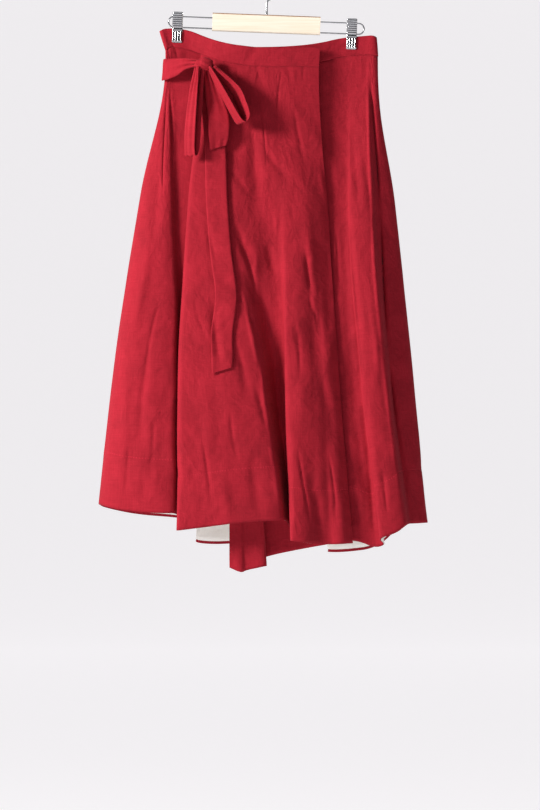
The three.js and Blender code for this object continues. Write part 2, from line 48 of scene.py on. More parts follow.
stagePlan = {
    "cameraPlace": (0.0035, -9.045, -0.747),
    "lens": 228.6,
    "floorHeight": -1.75,
    "wallPlace": 17.0,
    "sweepRadius": 5.0,
    "halfWidth": 17.0,
    "wallTop": 9.0,
    "sweepSteps": 24,
    "floorFront": -17.0,
    "paper": (0.42, 0.41, 0.42, 1),
    "paperLight": (0.80, 0.785, 0.80, 1),
    "paperGlow": 0.86,
    "keyPlace": (-3.55, -2.1, 0.9),
    "keySize": 1.15,
    "keyPower": 288,
    "keyColour": (1.0, 0.975, 0.95),
    "rimPlace": (2.6, 1.6, 0.9),
    "rimSize": 1.6,
    "rimPower": 3,
    "skyBright": 0.36,
    "skyDim": 0.0,
    "skyToward": (-0.75, 0.35, 0.3),  # brightest from the left and above
    "skyFade": (-0.7, 0.6),
    "skyColour": (0.97, 0.96, 1.0, 1),
    "skirtMiddle": (0, 0, -0.55),
}


def addObject(name, data):
    added = bpy.data.objects.new(name, data)
    bpy.context.scene.collection.objects.link(added)
    return added


def newMaterial(name):
    material = bpy.data.materials.new(name)
    material.use_nodes = True
    return material, material.node_tree, material.node_tree.nodes["Principled BSDF"]


def newPiece(name, points, faces, material):
    mesh = bpy.data.meshes.new(name)
    mesh.from_pydata(np.asarray(points, float).tolist(), [], np.asarray(faces).tolist())
    mesh.polygons.foreach_set("use_smooth", np.full(len(mesh.polygons), True))
    mesh.materials.append(material)
    mesh.update()
    return addObject(name, mesh)


def makeCamera():
    data = bpy.data.cameras.new("camera")
    data.lens = stagePlan["lens"]
    camera = addObject("camera", data)
    camera.location = stagePlan["cameraPlace"]
    camera.rotation_euler = (math.pi / 2, 0, 0)
    bpy.context.scene.camera = camera


def makeBackdrop():
    paper, _, shader = newMaterial("backdropPaper")
    shader.inputs["Base Color"].default_value = stagePlan["paper"]
    shader.inputs["Roughness"].default_value = 0.9
    shader.inputs["Emission Color"].default_value = stagePlan["paperLight"]
    shader.inputs["Emission Strength"].default_value = stagePlan["paperGlow"]
    floor = stagePlan["floorHeight"]
    wall = stagePlan["wallPlace"]
    radius = stagePlan["sweepRadius"]
    profile = [(stagePlan["floorFront"], floor), (wall - radius, floor)]
    steps = stagePlan["sweepSteps"]
    for k in range(1, steps + 1):
        turn = k / steps * math.pi / 2
        profile.append((wall - radius + math.sin(turn) * radius, floor + radius - math.cos(turn) * radius))
    profile.append((wall, stagePlan["wallTop"]))
    points = [(side * stagePlan["halfWidth"], y, z) for side in (-1, 1) for y, z in profile]
    count = len(profile)
    faces = [(k, count + k, count + k + 1, k + 1) for k in range(count - 1)]
    newPiece("backdrop", points, faces, paper)


def makeAreaLight(name, colour):
    place, size, power = (stagePlan[name + part] for part in ("Place", "Size", "Power"))
    data = bpy.data.lights.new(f"{name}Light", "AREA")
    data.shape = "DISK"
    data.size = size
    data.energy = power
    data.color = colour
    light = addObject(f"{name}Light", data)
    light.location = place
    toward = Vector(stagePlan["skirtMiddle"]) - Vector(place)
    light.rotation_euler = toward.to_track_quat("-Z", "Y").to_euler()


def makeSky():
    world = bpy.data.worlds.new("softStudio")
    bpy.context.scene.world = world
    world.use_nodes = True
    nodes, links = world.node_tree.nodes, world.node_tree.links
    direction = nodes.new("ShaderNodeTexCoord")
    toward = nodes.new("ShaderNodeVectorMath")
    toward.operation = "DOT_PRODUCT"
    toward.inputs[1].default_value = stagePlan["skyToward"]
    spread = nodes.new("ShaderNodeMapRange")
    spread.interpolation_type = "SMOOTHSTEP"
    limits = (*stagePlan["skyFade"], stagePlan["skyDim"], stagePlan["skyBright"])
    for label, value in zip(("From Min", "From Max", "To Min", "To Max"), limits):
        spread.inputs[label].default_value = value
    background = nodes["Background"]
    background.inputs["Color"].default_value = stagePlan["skyColour"]
    links.new(direction.outputs["Generated"], toward.inputs[0])
    links.new(toward.outputs["Value"], spread.inputs["Value"])
    links.new(spread.outputs["Result"], background.inputs["Strength"])


makeCamera()
makeBackdrop()
makeSky()
makeAreaLight("key", stagePlan["keyColour"])
makeAreaLight("rim", (1, 1, 1))
bpy.context.scene.view_settings.view_transform = "Standard"
print("stage ready")


# ---- materials ----

def newGroup(name, inputs, outputs):
    group = bpy.data.node_groups.new(name, "ShaderNodeTree")
    for label, kind, value in inputs:
        socket = group.interface.new_socket(name=label, in_out="INPUT", socket_type=kind)
        socket.default_value = value
    for label, kind in outputs:
        group.interface.new_socket(name=label, in_out="OUTPUT", socket_type=kind)
    return group, group.nodes.new("NodeGroupInput"), group.nodes.new("NodeGroupOutput")


def mathNode(tree, operation, first, second=None, third=None):
    node = tree.nodes.new("ShaderNodeMath")
    node.operation = operation
    for socket, value in zip(node.inputs, (first, second, third)):
        if value is None:
            continue
        if isinstance(value, (int, float)):
            socket.default_value = value
        else:
            tree.links.new(value, socket)
    return node.outputs[0]


def attributeNode(tree, name):
    node = tree.nodes.new("ShaderNodeAttribute")
    node.attribute_name = name
    return node


def stretchedNoise(tree, coordinates, scales, detail):
    mapping = tree.nodes.new("ShaderNodeMapping")
    mapping.inputs["Scale"].default_value = scales
    noise = tree.nodes.new("ShaderNodeTexNoise")
    noise.inputs["Scale"].default_value = 1
    noise.inputs["Detail"].default_value = detail
    tree.links.new(coordinates, mapping.inputs["Vector"])
    tree.links.new(mapping.outputs["Vector"], noise.inputs["Vector"])
    return noise.outputs["Fac"]


# Plain weave with uneven threads. grain holds metres across and down the cloth.
def makeLinenWeave():
    group, given, made = newGroup(
        "linenWeave",
        [("Threads Per Metre", "NodeSocketFloat", 1400.0), ("Slub", "NodeSocketFloat", 1.0)],
        [("Tone", "NodeSocketFloat"), ("Height", "NodeSocketFloat"), ("Roughness", "NodeSocketFloat")],
    )
    grain = attributeNode(group, "grain")
    vector = grain.outputs["Vector"]
    apart = group.nodes.new("ShaderNodeSeparateXYZ")
    group.links.new(vector, apart.inputs[0])
    threads = given.outputs["Threads Per Metre"]
    waves = []
    for axis in ("X", "Y"):
        turns = mathNode(group, "MULTIPLY", apart.outputs[axis], threads)
        waves.append(mathNode(group, "SINE", mathNode(group, "MULTIPLY", turns, math.pi)))
    crossing = mathNode(group, "MULTIPLY", waves[0], waves[1])
    weave = mathNode(group, "MULTIPLY_ADD", crossing, 0.5, 0.5)
    warpSlub = stretchedNoise(group, vector, (850, 30, 1), 4)
    weftSlub = stretchedNoise(group, vector, (38, 760, 1), 4)
    slubs = mathNode(group, "ADD", warpSlub, weftSlub)
    slubs = mathNode(group, "MULTIPLY", mathNode(group, "SUBTRACT", slubs, 1.0), given.outputs["Slub"])
    patches = stretchedNoise(group, vector, (26, 17, 1), 5)
    tone = mathNode(group, "MULTIPLY_ADD", slubs, 0.8, 0.5)
    tone = mathNode(group, "MULTIPLY_ADD", mathNode(group, "SUBTRACT", patches, 0.5), 0.9, tone)
    tone = mathNode(group, "MULTIPLY_ADD", mathNode(group, "SUBTRACT", weave, 0.5), 0.22, tone)
    group.links.new(tone, made.inputs["Tone"])
    height = mathNode(group, "MULTIPLY_ADD", slubs, 0.9, weave)
    group.links.new(height, made.inputs["Height"])
    rough = mathNode(group, "MULTIPLY_ADD", slubs, -0.15, 0.84)
    group.links.new(rough, made.inputs["Roughness"])
    return group


# Small sharp wrinkles that linen keeps after pressing: two noises, folded where they cross their middle.
def makeLinenCrumple():
    group, given, made = newGroup(
        "linenCrumple", [("Scale", "NodeSocketFloat", 30.0)], [("Height", "NodeSocketFloat")],
    )
    grain = attributeNode(group, "grain")
    total = None
    for share, size, tilt in ((0.65, 1.0, 0.35), (0.35, 2.3, -0.5)):
        turned = group.nodes.new("ShaderNodeMapping")
        turned.inputs["Rotation"].default_value = (0, 0, tilt)
        turned.inputs["Scale"].default_value = (size, size * 0.8, 1)
        noise = group.nodes.new("ShaderNodeTexNoise")
        noise.inputs["Detail"].default_value = 2.5
        noise.inputs["Roughness"].default_value = 0.5
        noise.inputs["Distortion"].default_value = 0.5
        group.links.new(grain.outputs["Vector"], turned.inputs["Vector"])
        group.links.new(turned.outputs["Vector"], noise.inputs["Vector"])
        group.links.new(given.outputs["Scale"], noise.inputs["Scale"])
        centred = mathNode(group, "SUBTRACT", noise.outputs["Fac"], 0.5)
        ridge = mathNode(group, "SUBTRACT", 0.5, mathNode(group, "ABSOLUTE", centred))
        total = mathNode(group, "MULTIPLY_ADD", ridge, share, 0.0 if total is None else total)
    group.links.new(total, made.inputs["Height"])
    return group


hemStitch = {
    "above": 94,
    "length": 3.6,
    "thread": 1.4,
    "pucker": 1.3,
    "puckerMiddle": 4,
    "puckerReach": 17,
    "spacing": 15,
    "groove": 0.25,
    "grooveWidth": 1.6,
    "allowance": 0.3,  # the hem turned up inside
    "allowanceStep": 2.5,
}


# Row of stitches at one distance above the hem, 1 on a stitch. hemward holds metres down to the hem.
def makeHemStitches():
    group, given, made = newGroup(
        "hemStitches",
        [(label, "NodeSocketFloat", hemStitch[label.lower()] * mm) for label in ("Above", "Length")],
        [("Mask", "NodeSocketFloat")],
    )
    grain = attributeNode(group, "grain")
    hemward = attributeNode(group, "hemward")
    apart = group.nodes.new("ShaderNodeSeparateXYZ")
    group.links.new(grain.outputs["Vector"], apart.inputs[0])
    level = mathNode(group, "SUBTRACT", hemward.outputs["Fac"], given.outputs["Above"])
    away = mathNode(group, "ABSOLUTE", level)
    line = mathNode(group, "SUBTRACT", 1.0, mathNode(group, "DIVIDE", away, hemStitch["thread"] * mm))
    line.node.use_clamp = True
    stitches = mathNode(group, "DIVIDE", apart.outputs["X"], given.outputs["Length"])
    turns = mathNode(group, "MULTIPLY", stitches, 2 * math.pi)
    dash = mathNode(group, "MULTIPLY_ADD", mathNode(group, "SINE", turns), 0.9, 0.75)
    dash.node.use_clamp = True
    group.links.new(mathNode(group, "MULTIPLY", line, dash), made.inputs["Mask"])
    return group


linenWeave = makeLinenWeave()
linenCrumple = makeLinenCrumple()
hemStitches = makeHemStitches()


def placeGroup(tree, group, values):
    node = tree.nodes.new("ShaderNodeGroup")
    node.node_tree = group
    for label, value in values.items():
        node.inputs[label].default_value = value
    return node


def rampBetween(tree, factor, stops):
    ramp = tree.nodes.new("ShaderNodeValToRGB")
    elements = ramp.color_ramp.elements
    while len(elements) < len(stops):
        elements.new(0.5)
    for element, (position, colour) in zip(elements, stops):
        element.position = position
        element.color = (*colour, 1)
    tree.links.new(factor, ramp.inputs["Fac"])
    return ramp.outputs["Color"]


def bumpOver(tree, height, distance, strength, normal=None):
    bump = tree.nodes.new("ShaderNodeBump")
    bump.inputs["Strength"].default_value = strength
    bump.inputs["Distance"].default_value = distance
    tree.links.new(height, bump.inputs["Height"])
    if normal is not None:
        tree.links.new(normal, bump.inputs["Normal"])
    return bump.outputs["Normal"]


def linenMaterial(name, look):
    material, tree, shader = newMaterial(name)
    weave = placeGroup(tree, linenWeave, {"Threads Per Metre": look["threads"], "Slub": look["slub"]})
    crumple = placeGroup(tree, linenCrumple, {"Scale": look["crumpleScale"]})
    stops = [(0.1, look["dark"]), (0.5, look["middle"]), (0.9, look["light"])]
    stitches = placeGroup(tree, hemStitches, {})
    tone = mathNode(tree, "MULTIPLY_ADD", stitches.outputs["Mask"], look["stitchTone"],
                    weave.outputs["Tone"])
    tree.links.new(rampBetween(tree, tone, stops), shader.inputs["Base Color"])
    tree.links.new(weave.outputs["Roughness"], shader.inputs["Roughness"])
    normal = bumpOver(tree, crumple.outputs["Height"], look["crumpleDepth"], 1.0)
    normal = bumpOver(tree, stitches.outputs["Mask"], -0.0008, 0.6, normal)
    normal = bumpOver(tree, weave.outputs["Height"], look["weaveDepth"], look["weaveStrength"], normal)
    tree.links.new(normal, shader.inputs["Normal"])
    shader.inputs["Specular IOR Level"].default_value = 0.18
    shader.inputs["Sheen Weight"].default_value = look["sheen"]
    shader.inputs["Sheen Roughness"].default_value = 0.5
    shader.inputs["Sheen Tint"].default_value = look["sheenTint"]
    return material


redLinen = linenMaterial("redLinen", {
    "threads": 1800, "slub": 1.0, "crumpleScale": 19, "crumpleDepth": 0.006,
    "weaveDepth": 0.00016, "weaveStrength": 0.5, "stitchTone": 1.6,
    "dark": (0.255, 0.0062, 0.0155), "middle": (0.325, 0.0080, 0.0195), "light": (0.39, 0.0110, 0.0255),
    "sheen": 0.06, "sheenTint": (1.0, 0.4, 0.45, 1),
})
creamLinen = linenMaterial("creamLinen", {
    "threads": 1900, "slub": 0.8, "crumpleScale": 22, "crumpleDepth": 0.0035,
    "weaveDepth": 0.00014, "weaveStrength": 0.4, "stitchTone": 0.0,
    "dark": (0.88, 0.84, 0.78), "middle": (0.94, 0.91, 0.86), "light": (0.96, 0.94, 0.90),
    "sheen": 0.04, "sheenTint": (1, 1, 1, 1),
})


def chromeMaterial():
    material, tree, shader = newMaterial("chrome")
    place = tree.nodes.new("ShaderNodeTexCoord")
    scuffs = stretchedNoise(tree, place.outputs["Object"], (900, 900, 120), 3)
    tree.links.new(rampBetween(tree, scuffs, [(0.3, (0.44, 0.45, 0.47)), (0.7, (0.66, 0.67, 0.69))]),
                   shader.inputs["Base Color"])
    tree.links.new(mathNode(tree, "MULTIPLY_ADD", scuffs, 0.16, 0.08), shader.inputs["Roughness"])
    tree.links.new(bumpOver(tree, scuffs, 0.0001, 0.2), shader.inputs["Normal"])
    shader.inputs["Metallic"].default_value = 1
    return material


chrome = chromeMaterial()
print("cloth and metal finishes ready")


# ---- cloth: where the folds lie ----

def unit(vectors):
    return vectors / np.linalg.norm(vectors, axis=-1, keepdims=True)


def runAlong(line):
    return np.concatenate([[0], np.cumsum(np.linalg.norm(np.diff(line, axis=0), axis=-1))])


def tableOf(columns, rows):
    return {name: np.array([row[k] for row in rows], float) for k, name in enumerate(columns.split())}


clothSizes = {
    "clothWall": 1.2,
    "liningWall": 1.0,
    "layerGap": 0.3,
    "bandHeight": 33,
    "length": 870,
    "sideShift": -3.5,
    "straightDrop": 0.03,
    "drops": (0, 0.3, 0.65, 1),
    "underBand": 0.1,  # just clear of the band
}

# Waistband: top edge (rim) and lower edge (seam) in plan, and the rim's height.
bandColumns = "rimX rimY seamX seamY rimZ"
bandOver = [
    (95, -20, 93, -22, -120),
    (60, -24, 60, -26, -119),
    (7, -27, 7, -28, -121),
    (-45, -27, -45, -28, -117),
    (-80, -22, -80, -25, -110),
    (-108, -11, -108, -15, -100),
    (-132, -1.5, -132, -2, -89),
    (-156, -1.5, -156, -1.5, -85),
    (-178, -1.5, -168, -1.5, -85),
    (-184, -4, -173, -5, -88),
]
bandBack = [
    (-187, 0, -177, 0, -90),  # left side seam
    (-184, 4, -173, 5, -88),
    (-178, 1.5, -168, 1.5, -85),
    (-156, 1.5, -156, 1.5, -85),
    (-132, 1.5, -132, 2, -89),
    (-106, 10, -106, 14, -103),
    (-60, 18, -60, 19, -114),
    (0, 20, 0, 20, -120),
    (60, 18, 60, 19, -117),
    (100, 10, 100, 13, -109),
    (126, 1.5, 126, 2, -103),
    (150, 1.5, 150, 1.5, -100),
    (175, 1.5, 174, 1.5, -98),
    (189, 4.5, 190, 5, -97),
]
bandUnder = [
    (195, 0, 198, 0, -102),  # right side seam
    (189, -4.5, 190, -5, -97),
    (175, -1.5, 174, -1.5, -98),
    (150, -1.5, 150, -1.5, -100),
    (126, -1.5, 126, -2, -103),
    (100, -7, 100, -10, -110),
    (60, -13, 60, -14, -116),
    (0, -15, 0, -16, -119),
    (-49, -15, -49, -16, -117),
]

# Panels: a row for each fold, round from the free over edge to the free under edge.
foldColumns = "along inset hipX hipY kneeX kneeY hemX hemY hemZ soft"
foldsOver = [
    (0, 0, 108, -29, 128, -37, 150, -39, -989, 1),  # free over edge
    (21, 0, 94, -38, 112, -50, 131, -57, -990, 1),  # ridge beside it
    (43, 0, 75, -41, 93, -43, 102, -45, -991, 1),  # shallow valley
    (62, 0, 56, -47, 68, -61, 70, -72, -988, 1),  # broad ridge
    (76, 0, 33, -48, 33, -62, 40, -74, -984, 0.5),  # edge over the deep valley
    (83, 0, 21, -45, 42, -42, 54, -42, -976, 0.8),  # valley, tucked under that edge
    (90, 0, 7, -44, 28, -34, 42, -32, -964, 0.9),  # valley floor
    (99, 0, -7, -45, 5, -43, 34, -42, -948, 0.9),  # far wall of the valley
    (111, 0, -24, -47, -8, -62, 25, -72, -948, 0.7),  # front panel, turning in
    (137, 0, -54, -49, -60, -65, -48, -76, -952, 1),  # front panel, middle
    (170, 0, -86, -49, -100, -64, -98, -75, -959, 1),  # front panel, left
    (191, 0, -111, -48, -127, -63, -130, -74, -963, 1),
    (210, 0, -133, -45, -149, -60, -154, -71, -966, 0.5),  # pleat edge, front
    (215, 4, -138, -40, -153, -55, -157, -65, -966, 0.8),  # pleat edge, back
    (209, 6, -132, -35, -146, -49, -150, -58, -964, 0.8),
    (200, 7, -107, -34, -107, -47, -107, -55, -955, 1),  # inside of the pleat
    (197, 11, -98, -29, -98, -41, -98, -48, -950, 1),  # inner fold of the pleat
    (207, 12, -119, -24, -133, -36, -140, -42, -945, 1),
    (243, 0, -147, -22, -149, -35, -154, -42, -940, 1),  # pleat floor that shows
    (257, 0, -158, -22, -153, -38, -158, -45, -938, 1),
    (264, 0, -163, -26, -155, -45, -160, -53, -937, 0.8),
    (268, 0, -168, -32, -158.5, -50, -165, -60, -936, 0.7),  # edge of the side panel
    (271, 0, -179, -35, -186, -54, -194, -63, -936, 1),
    (273, 0, -196, -31, -224, -47, -234, -53, -933, 1),  # side panel, middle
    (276, 0, -212, -22, -247, -36, -270, -41, -927, 1),
    (279, 0, -221, -8, -261, -12, -291, -15, -921, 1),  # left outline
]
foldsBack = [
    (281, 0, -221, 8, -261, 12, -290, 14, -922, 1),  # left side seam
    (285, 0, -217, 18, -256, 30, -283, 36, -928, 1),
    (296, 0, -186, 32, -212, 48, -229, 57, -941, 1),
    (315, 0, -142, 36, -154, 44, -165, 44, -945, 1),  # ridge seen from inside
    (336, 0, -114, 41, -98, 62, -88, 74, -955, 1),  # deep side of the first back fold
    (348, 0, -108, 39, -90, 58, -77, 67, -964, 1),
    (362, 0, -101, 36, -104, 48, -119, 52, -981, 1),
    (369, 0, -95, 34, -110, 41, -126, 44, -990, 0.8),  # first back fold
    (380, 0, -90, 33, -95, 40, -95, 39, -993, 1),
    (394, 0, -70, 36, -66, 48, -60, 50, -992, 1),
    (430, 0, -28, 42, -25, 62, -18, 74, -988, 1),  # outer ridge
    (455, 0, 1, 40, 7, 56, 14, 62, -987, 1),
    (482, 0, 30, 38, 38, 50, 45, 52, -987, 1),  # inner ridge
    (524, 0, 82, 44, 112, 66, 133, 80, -988, 1),  # deep side of the second back fold
    (535, 0, 90, 42, 124, 61, 143, 72, -993, 0.9),
    (546, 0, 95, 38, 113, 50, 113, 55, -1004, 0.9),
    (553, 0, 100, 35, 107, 44, 106, 46, -1007, 0.8),  # second back fold
    (567, 0, 112, 33, 128, 42, 138, 41, -1007, 1),
    (600, 0, 157, 30, 178, 46, 198, 51, -1000, 1),
    (627, 0, 190, 26, 217, 44, 239, 54, -956, 1),
    (656, 0, 219, 15, 249, 26, 278, 30, -951, 1),
]
foldsUnder = [
    (669, 0, 227, 5, 255, 8, 285, 10, -954, 1),  # right side seam
    (672, 0, 225, -6, 253, -3, 283, -3, -954, 1),  # right outline
    (677, 0, 211, -13, 235, -14, 265, -13, -955, 1),  # shaded side
    (682, 0, 193, -17, 217, -25, 251, -24, -955, 0.8),  # valley
    (686, 0, 185, -27, 208, -41, 245, -41, -957, 0.6),  # edge beside the valley
    (695, 0, 175, -28, 192, -44, 228, -48, -971, 1),  # ridge
    (718, 0, 147, -26, 164, -42, 195, -45, -981, 0.9),
    (723, 0, 145, -22, 168, -35, 209, -36, -991, 0.9),  # lapped fold at the hem
    (728, 0, 138, -19, 154, -28, 191, -28, -998, 1),
    (746, 0, 122, -21, 138, -31, 161, -32, -985, 1),  # panel beside the over edge
    (767, 0, 103, -23, 116, -29, 138, -28, -985, 1),
    (798, 0, 77, -24, 77, -24, 98, -18, -993, 1),
    (829, 0, 42, -25, 38, -17, 60, -10, -1000, 1),
    (853, 0, 11, -26, -2, -16, 10, -8, -1010, 1),
    (865, 0, -7, -26, -17, -15, -15, -6, -1018, 0.9),  # inner fold
    (872, 0, -14, -26, -20, -20, -14, -14, -1022, 0.9),
    (877, 0, -21, -26, -19, -26, -1, -20, -1029, 0.8),  # front fold
    (884, 0, -28, -27, -24, -30, -5, -27, -1030, 0.9),
    (898, 0, -49, -26, -45, -25, -37, -21, -1037, 0.9),  # crease
    (905, 0, -59, -27, -52, -29, -45, -27, -1041, 0.8),
    (917, 0, -73, -26, -68, -28, -64, -25, -1032, 1),  # free under edge
]

band = tableOf(bandColumns, bandOver + bandBack + bandUnder)
folds = tableOf(foldColumns, foldsOver + foldsBack + foldsUnder)
bandLeftAt, bandRightAt = len(bandOver), len(bandOver) + len(bandBack)
foldLeftAt, foldRightAt = len(foldsOver), len(foldsOver) + len(foldsBack)
bandEndAt, foldEndAt = len(band["rimX"]) - 1, len(folds["along"]) - 1


def smoothThrough(knots, values, t):
    chords = [(values[i + 1] - values[i]) / (knots[i + 1] - knots[i]) for i in range(len(knots) - 1)]
    slopes = [np.zeros_like(chords[0])]
    for before, after in zip(chords, chords[1:]):
        total = np.where(before * after > 0, before + after, 1)
        slopes.append(np.where(before * after > 0, 2 * before * after / total, 0))
    slopes.append(chords[-1])
    i = min(int(np.searchsorted(knots, t, side="left")) - 1, len(knots) - 2)
    i = max(i, 0)
    span = knots[i + 1] - knots[i]
    s = (t - knots[i]) / span
    ease = s * s * (3 - 2 * s)
    return (values[i] + (values[i + 1] - values[i]) * ease
            + span * slopes[i] * s * (1 - s) ** 2 - span * slopes[i + 1] * s * s * (1 - s))


# Points at place u on a polygon of corners, each corner rounded by its softness.
def roundedColumn(corners, softness, u):
    last = corners.shape[-2] - 1
    i = int(min(last, max(0, math.floor(u + 0.5))))
    w = u - i
    here = corners[..., i, :]
    toward = corners[..., min(last, max(0, i - 1 if w < 0 else i + 1)), :]
    soft = 0 if i in (0, last) else softness[i]
    if abs(w) >= soft / 2:
        return here + (toward - here) * abs(w)
    start = here + (corners[..., i - 1, :] - here) * soft / 2
    end = here + (corners[..., i + 1, :] - here) * soft / 2
    s = w / soft + 0.5
    return start * (1 - s) ** 2 + here * 2 * s * (1 - s) + end * s * s


rimLine = np.stack([band["rimX"], band["rimY"], band["rimZ"]], axis=-1)
seamLine = np.stack([band["seamX"], band["seamY"], band["rimZ"] - clothSizes["bandHeight"]], axis=-1)
bandSoftness = np.ones(len(rimLine))
rulerSteps = 8
rulerPoints = np.array([roundedColumn(seamLine, bandSoftness, k / rulerSteps)
                        for k in range(bandEndAt * rulerSteps + 1)])
rulerMarks = runAlong(rulerPoints)


def seamPoint(distance, inset):
    k = int(np.clip(np.searchsorted(rulerMarks, distance), 1, len(rulerMarks) - 1))
    before, after = rulerPoints[k - 1], rulerPoints[k]
    share = (distance - rulerMarks[k - 1]) / (rulerMarks[k] - rulerMarks[k - 1])
    along = unit((after - before)[:2])
    return before + (after - before) * share + np.array([along[1], -along[0], 0]) * inset


foldTops = np.array([seamPoint(a, b) for a, b in zip(folds["along"], folds["inset"])])


def foldCorners(drop):
    spread = max(0, drop - clothSizes["straightDrop"]) / (1 - clothSizes["straightDrop"])
    knots = clothSizes["drops"]
    x = smoothThrough(knots, [foldTops[:, 0], folds["hipX"], folds["kneeX"], folds["hemX"]], spread)
    y = smoothThrough(knots, [foldTops[:, 1], folds["hipY"], folds["kneeY"], folds["hemY"]], spread)
    top = foldTops[:, 2] - clothSizes["underBand"]
    return np.stack([x, y, top + (folds["hemZ"] - top) * drop], axis=-1)


# ---- cloth: creases ----
# x0 z0 to x1 z1: line of the crease seen from the front.
# rise: height of the ridge, or depth of the trough if negative. lean: how much steeper one side is.

creaseColumns = "x0 z0 x1 z1 width rise lean"
frontCreases = tableOf(creaseColumns, [
    (-17, -146, -5, -192, 5, -1.4, 0.5),  # drag lines under the waistband
    (37, -150, 41, -184, 5, -1.0, 0),
    (63, -148, 66, -178, 4, -0.8, 0),
    (-52, -152, -48, -205, 6, -1.2, 0.4),
    (-2, -300, 36, -356, 12, -2.4, 0.3),  # slant over the hip
    (-30, -258, -14, -441, 17, -4.6, 0.3),  # broad trough down the middle
    (-62, -300, -60, -560, 24, 2.4, 0),
    (3, -462, 12, -525, 7, -3.6, 0.6),  # short creases above the deep valley
    (-38, -462, -22, -516, 8, -3.4, 0.5),
    (14, -395, 22, -452, 8, 1.6, 0),
    (-92, -560, -78, -700, 16, -3.2, 0.4),
    (-48, -640, -36, -742, 12, -3.2, 0.4),
    (-110, -700, -96, -850, 13, 1.9, 0),
    (-28, -836, -14, -948, 9, -2.6, 0.6),  # dark crease at the front hem
    (-78, -872, -70, -950, 10, 2.0, 0.2),
    (92, -423, 112, -651, 16, -4.4, 0.3),  # trough beside the over edge
    (64, -470, 82, -560, 11, -3.4, 0.6),
    (96, -330, 104, -400, 10, 1.6, 0),
    (100, -700, 118, -850, 13, -3.8, 0.4),
    (62, -700, 66, -800, 9, 1.8, 0),
    (88, -890, 92, -972, 7, -1.7, 0.5),
    (-184, -300, -206, -480, 15, -2.4, 0.3),  # side panel
    (-200, -420, -232, -640, 18, 2.6, 0),
    (-206, -640, -222, -850, 14, -2.2, 0.4),
    (-238, -700, -256, -880, 12, 1.8, 0),
    (-220, -868, -216, -925, 6, -1.5, 0.5),
    (-176, -700, -184, -900, 10, -1.6, 0.3),
    (150, -230, 160, -420, 9, -1.8, 0.4),  # shaded right side
    (178, -520, 196, -720, 12, 2.2, 0),
    (176, -170, 190, -420, 5, 2.5, 0),
    (187, -395, 204, -685, 6, 3.5, 0),
    (203, -655, 239, -950, 6, 4.0, 0),
    (206, -640, 226, -860, 10, -2.2, 0.4),
    (160, -760, 176, -930, 10, -2.0, 0.4),
    (-54, -430, -19, -552, 9, -5.0, 0.6),  # slit between the front and the crisp edge over it
    (-46, -545, -8, -690, 7, 3.5, 0),
    (-12, -665, 14, -820, 7, 4.0, 0),
    (10, -790, 24, -950, 7, 4.0, 0),
    (-34, -500, 9, -668, 13, -10.0, 0.3),
    (4, -624, 33, -836, 13, -18.0, 0.3),
    (30, -790, 39, -960, 10, -18.0, 0.3),
    (183, -165, 198, -420, 6, -6.0, 0.3),  # line down beside the shaded side
    (196, -395, 214, -685, 7, -9.0, 0.3),
    (212, -655, 248, -950, 7, -11.0, 0.3),
    (146, -400, 165, -745, 5, -4.0, 0.4),  # line where the panel laps at the hem
    (163, -705, 191, -985, 6, -5.0, 0.4),
    (86, -600, 106, -1010, 21, 9.0, 0),  # the broad ridge stays level toward the over edge
    (70, -360, 88, -640, 20, 4.5, 0),
    (-20, -178, 2, -330, 4, -1.7, 0.5),  # thin creases
    (24, -158, 19, -262, 4, -1.4, 0.4),
    (50, -226, 64, -332, 4, -1.7, 0.5),
    (-72, -330, -28, -386, 4, -1.6, 0.6),
    (-112, -420, -84, -500, 5, -1.8, 0.6),
    (-128, -560, -100, -640, 5, -1.6, 0.5),
    (-48, -548, -22, -622, 5, -2.2, 0.6),
    (-118, -800, -92, -930, 5, -2.0, 0.6),
    (-66, -760, -50, -846, 4, -1.6, 0.5),
    (-20, -700, 0, -800, 5, -2.2, 0.6),
    (48, -600, 62, -700, 4, -2.0, 0.6),
    (70, -560, 96, -600, 4, -1.8, 0.5),
    (58, -820, 74, -960, 5, -2.4, 0.6),
    (110, -830, 122, -960, 5, -2.2, 0.6),
    (118, -440, 132, -560, 5, -2.0, 0.5),
    (150, -880, 160, -968, 5, -2.2, 0.6),
    (172, -300, 180, -420, 5, -1.8, 0.5),
    (196, -860, 214, -940, 5, -2.2, 0.5),
    (-188, -560, -212, -700, 5, -1.8, 0.5),
    (-236, -820, -250, -905, 5, -1.8, 0.5),
    (-196, -760, -204, -880, 5, -1.6, 0.5),
    (-149, -500, -154, -735, 4, -5.0, 0.2),  # slit beside the pleat edge
    (-153, -700, -158, -925, 4, -5.0, 0.2),
    (-172, -168, -166, -372, 3.4, -3.2, 0.3),  # two long lines on the side panel
    (-177, -178, -180, -390, 3.4, -2.6, 0.3),
    (-168, -178, -168, -330, 7, 1.4, 0),
    (-166, -108, -157, -140, 3, -2.6, 0.4),  # folds squeezed in at the band's left end
    (-177, -113, -168, -142, 3, -2.4, 0.4),
    (-143, -121, -133, -140, 5, -1.2, 0.3),
    (-8, -111, -44, -146, 9, -1.8, 0.6),  # slanting pull on the band beside the knot
    (-30, -116, -92, -140, 7, 1.0, 0),
])
